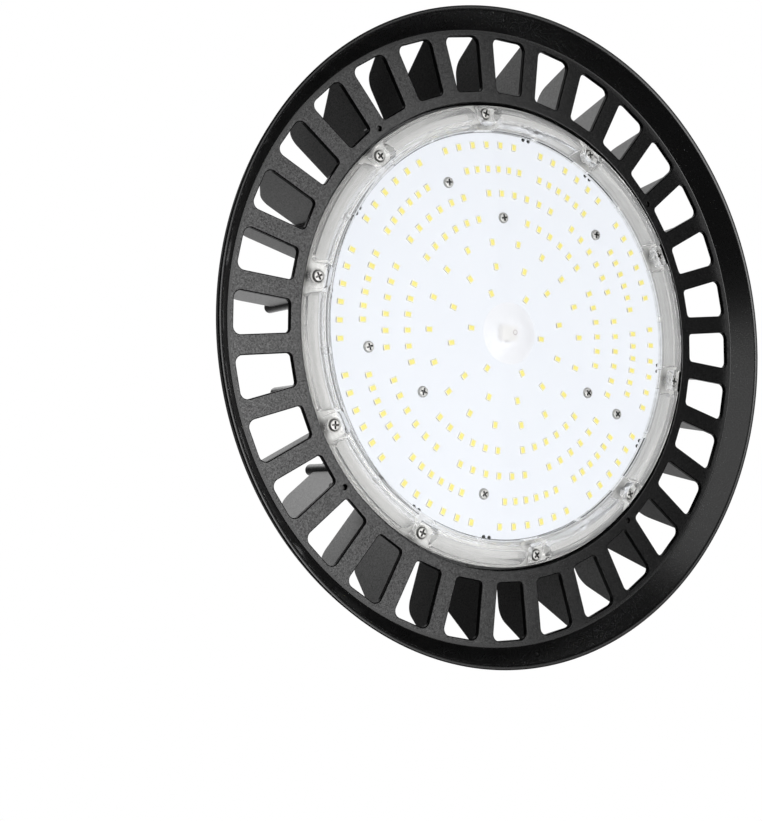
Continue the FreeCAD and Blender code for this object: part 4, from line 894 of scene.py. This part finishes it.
def make_screws(look):
    """Screws of the cover, the board and the driver housing."""
    places = [placed(angle, COVER_SCREW_CIRCLE, COVER_LUG) @ placed(29.0 * index)
              for index, angle in enumerate(ring_angles(COVER_SCREWS, COVER_SCREW_ANGLE))]
    # The third steel, for the heads' shoulders, is a darker copy: painted shade.
    steels = [look["cover_screw"], look["cover_recess"], look["screw_side"]]
    make_screw_set("cover_screw", places, COVER_SCREW, steels, SCREW_BRIM)
    places = [placed(angle, radius, BOARD_FACE) @ placed(17.0 + 31.0 * index)
              for count, radius in BOARD_SCREWS
              for index, angle in enumerate(ring_angles(count, BOARD_SCREW_ANGLE))]
    make_screw_set("board_screw", places, BOARD_SCREW, [look["dull_screw"], look["recess"]])
    places = [placed(angle, HOUSING_SCREW_CIRCLE, HOUSING_FOOT_TOP, flip=True) @ placed(23.0 * index)
              for index, angle in enumerate(ring_angles(HOUSING_SCREWS))]
    make_screw_set("housing_screw", places, HOUSING_SCREW, [look["screw"], look["recess"]])


# Clear cover.

def cover_profile():
    """Section of the cover as (radius, height), from the dome's tip round to its back."""
    tip, back = WINDOW_FACE - DOME_HEIGHT, WINDOW_BACK - DOME_HEIGHT
    return rounded([
        (0.0, tip),
        (GATE_RADIUS - GATE_WIDTH / 2, tip),
        (GATE_RADIUS, tip + GATE_DEPTH),
        (GATE_RADIUS + GATE_WIDTH / 2, tip),
        (DOME_FLAT, tip, DOME_ROUND),
        (DOME_RADIUS, WINDOW_FACE, 0.4),
        (WINDOW_RADIUS, WINDOW_FACE, 0.6),
        (CREST_INNER, CREST, CREST_INNER_ROUND),
        (CREST_OUTER, CREST, CREST_OUTER_ROUND),
        (COVER_RADIUS, COVER_KNEE, 1.2),
        (COVER_RADIUS, SEAT, 0.3),
        (COVER_BORE, SEAT),
        (COVER_BORE, WINDOW_BACK, 0.5),
        (DOME_RADIUS - DOME_WALL, WINDOW_BACK, 0.4),
        (DOME_FLAT - DOME_WALL, back, DOME_ROUND - (WINDOW_BACK - WINDOW_FACE)),
        (0.0, back),
    ], steps=8, closed=False)


def cover_kind(radius):
    """Number of the plastic at a radius: clear window, rim, dome, gate mark or the rim's inner part."""
    window, rim, dome, gate, inner = range(5)
    if abs(radius - GATE_RADIUS) < GATE_WIDTH / 2:
        return gate
    limits = ((dome, DOME_RADIUS), (window, WINDOW_RADIUS + 0.4), (inner, HOLLOW_INNER))
    return next((kind for kind, limit in limits if radius < limit), rim)


def channel_form(section, start, end, corner):
    """Groove cut to a section (radius, height) over an angle, its ends rounded in plan."""
    low, high = (pick(radius for radius, _ in section) for pick in (min, max))
    middle, half = (low + high) / 2, (high - low) / 2
    per_degree = math.radians(1.0) * middle
    ahead = corner / per_degree
    bend = [corner * (1 - cosine) for _, cosine in quarter(8)[:-1]]
    span = max(2, round((end - start) / 1.2))
    stops = [(distance, start + distance / per_degree) for distance in bend]
    stops += [(corner, start + ahead + (end - start - 2 * ahead) * step / span) for step in range(span + 1)]
    stops += [(distance, end - distance / per_degree) for distance in reversed(bend)]
    form = Form()
    loops = []
    for distance, angle in stops:
        lack = 1 - distance / corner
        share = 1 - corner * (1 - math.sqrt(max(0.0, 1 - lack * lack))) / half
        loops.append(form.loop([polar(middle + (radius - middle) * share, angle, height)
                                for radius, height in section]))
    return form.block(loops)


def make_cover(look):
    """Clear cover with its hollow rim, screw pockets and central dome."""
    form = Form()
    profile = cover_profile()
    form.lathe(profile, [cover_kind((one[0] + two[0]) / 2) for one, two in zip(profile, profile[1:])],
               closed=False)
    past = SEAT + 1
    hollow = rounded([
        (HOLLOW_INNER, past),
        (CREST_INNER + COVER_WALL, CREST + COVER_WALL, 1.0),
        (CREST_OUTER - COVER_WALL * 0.7, CREST + COVER_WALL, 1.4),
        (COVER_RADIUS - COVER_WALL, COVER_KNEE, 1.0),
        (COVER_RADIUS - COVER_WALL, past),
    ], steps=5)
    channel = rounded([
        (CHANNEL_INNER, past),
        (CHANNEL_INNER, CHANNEL_ROOF, 0.5),
        (CHANNEL_OUTER, CHANNEL_ROOF, 0.5),
        (CHANNEL_OUTER, past),
    ], steps=4)
    pocket = rounded([
        (POCKET_INNER, -POCKET_WIDTH / 2, POCKET_ROUND),
        (COVER_RADIUS + 2, -POCKET_WIDTH / 2),
        (COVER_RADIUS + 2, POCKET_WIDTH / 2),
        (POCKET_INNER, POCKET_WIDTH / 2, POCKET_ROUND),
    ], steps=8)
    notch = prism(pocket, 0.0, COVER_LUG - COUNTERBORE_DEPTH)
    seat = prism(circle(COUNTERBORE_RADIUS, 40, COVER_SCREW_CIRCLE), CREST, COVER_LUG)
    hole = prism(circle(COVER_SCREW_HOLE, 24, COVER_SCREW_CIRCLE), COVER_LUG - 1, past)
    step = 360.0 / COVER_SCREWS
    boss = math.degrees(HOLLOW_END / COVER_SCREW_CIRCLE)
    near, far = (math.degrees(length / CHANNEL_OUTER) for length in (CHANNEL_END, CHANNEL_BREAK))
    cuts = hollows, channels, pockets, holes = [Form() for _ in range(4)]
    for angle in ring_angles(COVER_SCREWS, COVER_SCREW_ANGLE):
        hollows.join(channel_form(hollow, angle + boss, angle + step - boss, HOLLOW_CORNER))
        for start, end in ((near, step / 2 - far), (step / 2 + far, step - near)):
            channels.join(channel_form(channel, angle + start, angle + end, CHANNEL_CORNER))
        for cut, tool in ((pockets, notch), (holes, seat), (holes, hole)):
            cut.join(tool, placed(angle))
    for cut, radius in zip(cuts, (CREST_OUTER, CHANNEL_INNER, CREST_OUTER, CREST_OUTER)):
        cut.kinds = [cover_kind(radius)] * len(cut.kinds)
    plastics = [look[key] for key in ("clear", "milky", "dome", "gate", "inner")]
    dress(carve("cover_shell", form, cuts, plastics), "clear_cover", sharp=28)


# Driver housing, and the CAD nodes that stay in view.

def make_housing(look):
    """Cast cup with cooling ribs and a foot flange."""
    form = Form()
    chamfer = HOUSING_TOP - HOUSING_CHAMFER
    form.lathe(rounded([
        (HOUSING_RADIUS - HOUSING_WALL, HOUSING_FOOT),
        (HOUSING_FOOT_RADIUS, HOUSING_FOOT, 0.3),
        (HOUSING_FOOT_RADIUS, HOUSING_FOOT_TOP, 1.2),
        (HOUSING_RADIUS, HOUSING_FOOT_TOP, HOUSING_ROUND),
        (HOUSING_RADIUS, chamfer, HOUSING_ROUND),
        (HOUSING_RADIUS - HOUSING_CHAMFER, HOUSING_TOP, HOUSING_ROUND),
        (0.0, HOUSING_TOP),
        (0.0, HOUSING_TOP - HOUSING_ROOF),
        (HOUSING_RADIUS - HOUSING_WALL, HOUSING_TOP - HOUSING_ROOF),
    ], steps=5), segments=192)
    build("housing_cup", form, [look["coat"]], "driver_housing", sharp=40)

    inner, outer, low = HOUSING_RADIUS - 1, HOUSING_RADIUS + RIB_HEIGHT, HOUSING_FOOT_TOP + 2
    outline = rounded([(inner, chamfer), (outer, chamfer - RIB_HEIGHT, 0.6),
                       (outer, low + RIB_HEIGHT, 0.6), (inner, low)], steps=3)
    rib = plate(outline, lambda height: RIB_WIDTH / 2, RIB_EDGE, 3)
    form = rib.copies([placed(angle) for angle in ring_angles(HOUSING_RIBS, FIRST_RIB)])
    build("housing_ribs", form, [look["coat"]], "driver_housing", sharp=50)


def finish_nodes(look):
    """Material and smooth shading of each CAD node that stays in view."""
    # The thermal pad's near-black rubber is painted shade at the board's edge.
    for key, names in (
            ("pad", ("thermal_pad",)), ("silicone", ("cover_gasket",)), ("forged", ("eye_bolt",)),
            ("rubber", ("housing_gasket", "eye_bolt_washer", "gland_washer", "gland_seal", "lead_grommet")),
            ("screw", ("driver_screws", "eye_bolt_nut")), ("brass", ("driver_pillars",)),
            ("nylon", ("gland_body", "gland_locknut", "gland_nut")),
            ("green_board", ("driver_board",)), ("green_plastic", ("terminal_block",)),
            ("ferrite", ("transformer_core",)), ("wire", ("transformer_winding", "input_choke")),
            ("sleeve", ("smoothing_capacitors",)), ("white_plastic", ("board_connector",)),
            ("red_lead", ("lead_positive",)), ("black_lead", ("lead_negative",))):
        for name in names:
            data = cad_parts[name].data
            data.materials.clear()
            data.materials.append(look[key])
            smooth(data, 35.0)


# Studio.

def aim(thing, place, target):
    """Put a lamp at a place, in metres, pointed at a target, its width level or along X."""
    back = (Vector(place) - Vector(target)).normalized()
    across = Vector((0, 1, 0)) if abs(back.x) > 0.7 else Vector((1, 0, 0))
    across = (across - back * across.dot(back)).normalized()
    turn = Matrix((across, back.cross(across), back)).transposed()
    thing.matrix_world = Matrix.Translation(Vector(place)) @ turn.to_4x4()


def make_lamp(name, place, width, height, brightness):
    """Soft rectangular lamp of a given brightness, out of the camera's sight."""
    data = bpy.data.lights.new(name, "AREA")
    data.shape = "RECTANGLE"
    data.size, data.size_y = width, height
    data.energy = brightness * math.pi * width * height
    lamp = add_object(name, data)
    aim(lamp, place, LAMP_TARGET)
    lamp.visible_camera = False


def make_world():
    """White backdrop for the camera, and a plain pale room for everything else."""
    world = bpy.data.worlds.new("studio")
    bpy.context.scene.world = world
    world.use_nodes = True
    tree = world.node_tree
    tree.nodes.clear()
    way = add_node(tree, "TexCoord").outputs["Generated"]
    toward = add_node(tree, "VectorMath", {0: way, 1: Vector(BACKDROP_WAY).normalized()},
                      operation="DOT_PRODUCT")
    fade = add_node(tree, "MapRange", {
        "Value": toward.outputs["Value"], "From Min": BACKDROP_END, "From Max": BACKDROP_START,
        "To Min": DIM_LEVEL, "To Max": 1.0}, interpolation_type="SMOOTHSTEP")
    room, shown, white = (add_node(tree, "Background", {"Color": WHITE, "Strength": strength}).outputs[0]
                          for strength in (ROOM_LEVEL, fade.outputs["Result"], 1.0))
    path = add_node(tree, "LightPath").outputs
    both = add_node(tree, "Math", {0: path["Is Glossy Ray"], 1: path["Is Transmission Ray"]},
                    operation="MAXIMUM")
    unseen = mix(tree, both.outputs[0], room, shown)
    add_node(tree, "OutputWorld", {"Surface": mix(tree, path["Is Camera Ray"], unseen, white)})


def make_floor():
    """Pale floor far below the hanging lamp, fading out round its edge."""
    form = Form()
    rings = [form.level(circle(radius, 96), FLOOR_LEVEL) for radius in (FLOOR_CORE, FLOOR_RADIUS, FLOOR_FADE)]
    form.face(rings[0])
    form.bridge(rings)
    paint = Paint("floor_white", (0.8, 0.8, 0.8), 0.9, specular=0.1)
    paint.shades(paint.noise(400.0), 0.01)
    distance = paint.add("VectorMath", {0: paint.place}, operation="LENGTH")
    near, far = (math.hypot(FLOOR_LEVEL, radius) * MM for radius in (FLOOR_RADIUS, FLOOR_FADE))
    fade = paint.add("MapRange", {"Value": distance.outputs["Value"], "From Min": near, "From Max": far},
                     interpolation_type="SMOOTHSTEP")
    paint.show(fade.outputs["Result"], paint.add("BsdfTransparent"))
    coated("floor", form, [paint.material])


def make_camera():
    """Camera at the photograph's place, with its lens centre off the picture's middle."""
    tilt_away = Vector((math.sin(VIEW_TILT) * math.cos(VIEW_TURN),
                        math.sin(VIEW_TILT) * math.sin(VIEW_TURN), -math.cos(VIEW_TILT)))
    across = (Vector((1, 0, 0)) - tilt_away * tilt_away.x).normalized()
    down = tilt_away.cross(across)
    if down.y > 0:
        down = -down
    lamp = Vector((LAMP_RIGHT, LAMP_DOWN, LAMP_AWAY))
    place = Vector((-lamp.dot(across), lamp.dot(down), LAMP_LEVEL + lamp.dot(tilt_away))) * MM
    right, low, away = (Vector((across[axis], -down[axis], -tilt_away[axis])) for axis in range(3))
    data = bpy.data.cameras.new("camera")
    data.sensor_width = SENSOR
    longest = max(IMAGE_WIDTH, IMAGE_HEIGHT)
    data.lens = FOCAL_PIXELS / longest * SENSOR
    data.shift_x = (IMAGE_WIDTH / 2 - LENS_CENTRE_X) / longest
    data.shift_y = (LENS_CENTRE_Y - IMAGE_HEIGHT / 2) / longest
    data.clip_start, data.clip_end = 0.05, 50.0
    camera = add_object("camera", data)
    turn = Matrix((right, -low, -away)).transposed().to_4x4()
    camera.matrix_world = Matrix.Translation(place) @ turn
    bpy.context.scene.camera = camera


def make_studio():
    """World, floor, lamps and camera."""
    make_world()
    make_floor()
    for lamp in LAMPS:
        make_lamp(*lamp)
    make_camera()
    bpy.context.scene.view_settings.view_transform = "Standard"


def main():
    look = make_materials()
    for make in (make_casting, make_fins, make_board, make_chips, make_screws, make_cover, make_housing,
                 finish_nodes):
        make(look)
    make_studio()


main()
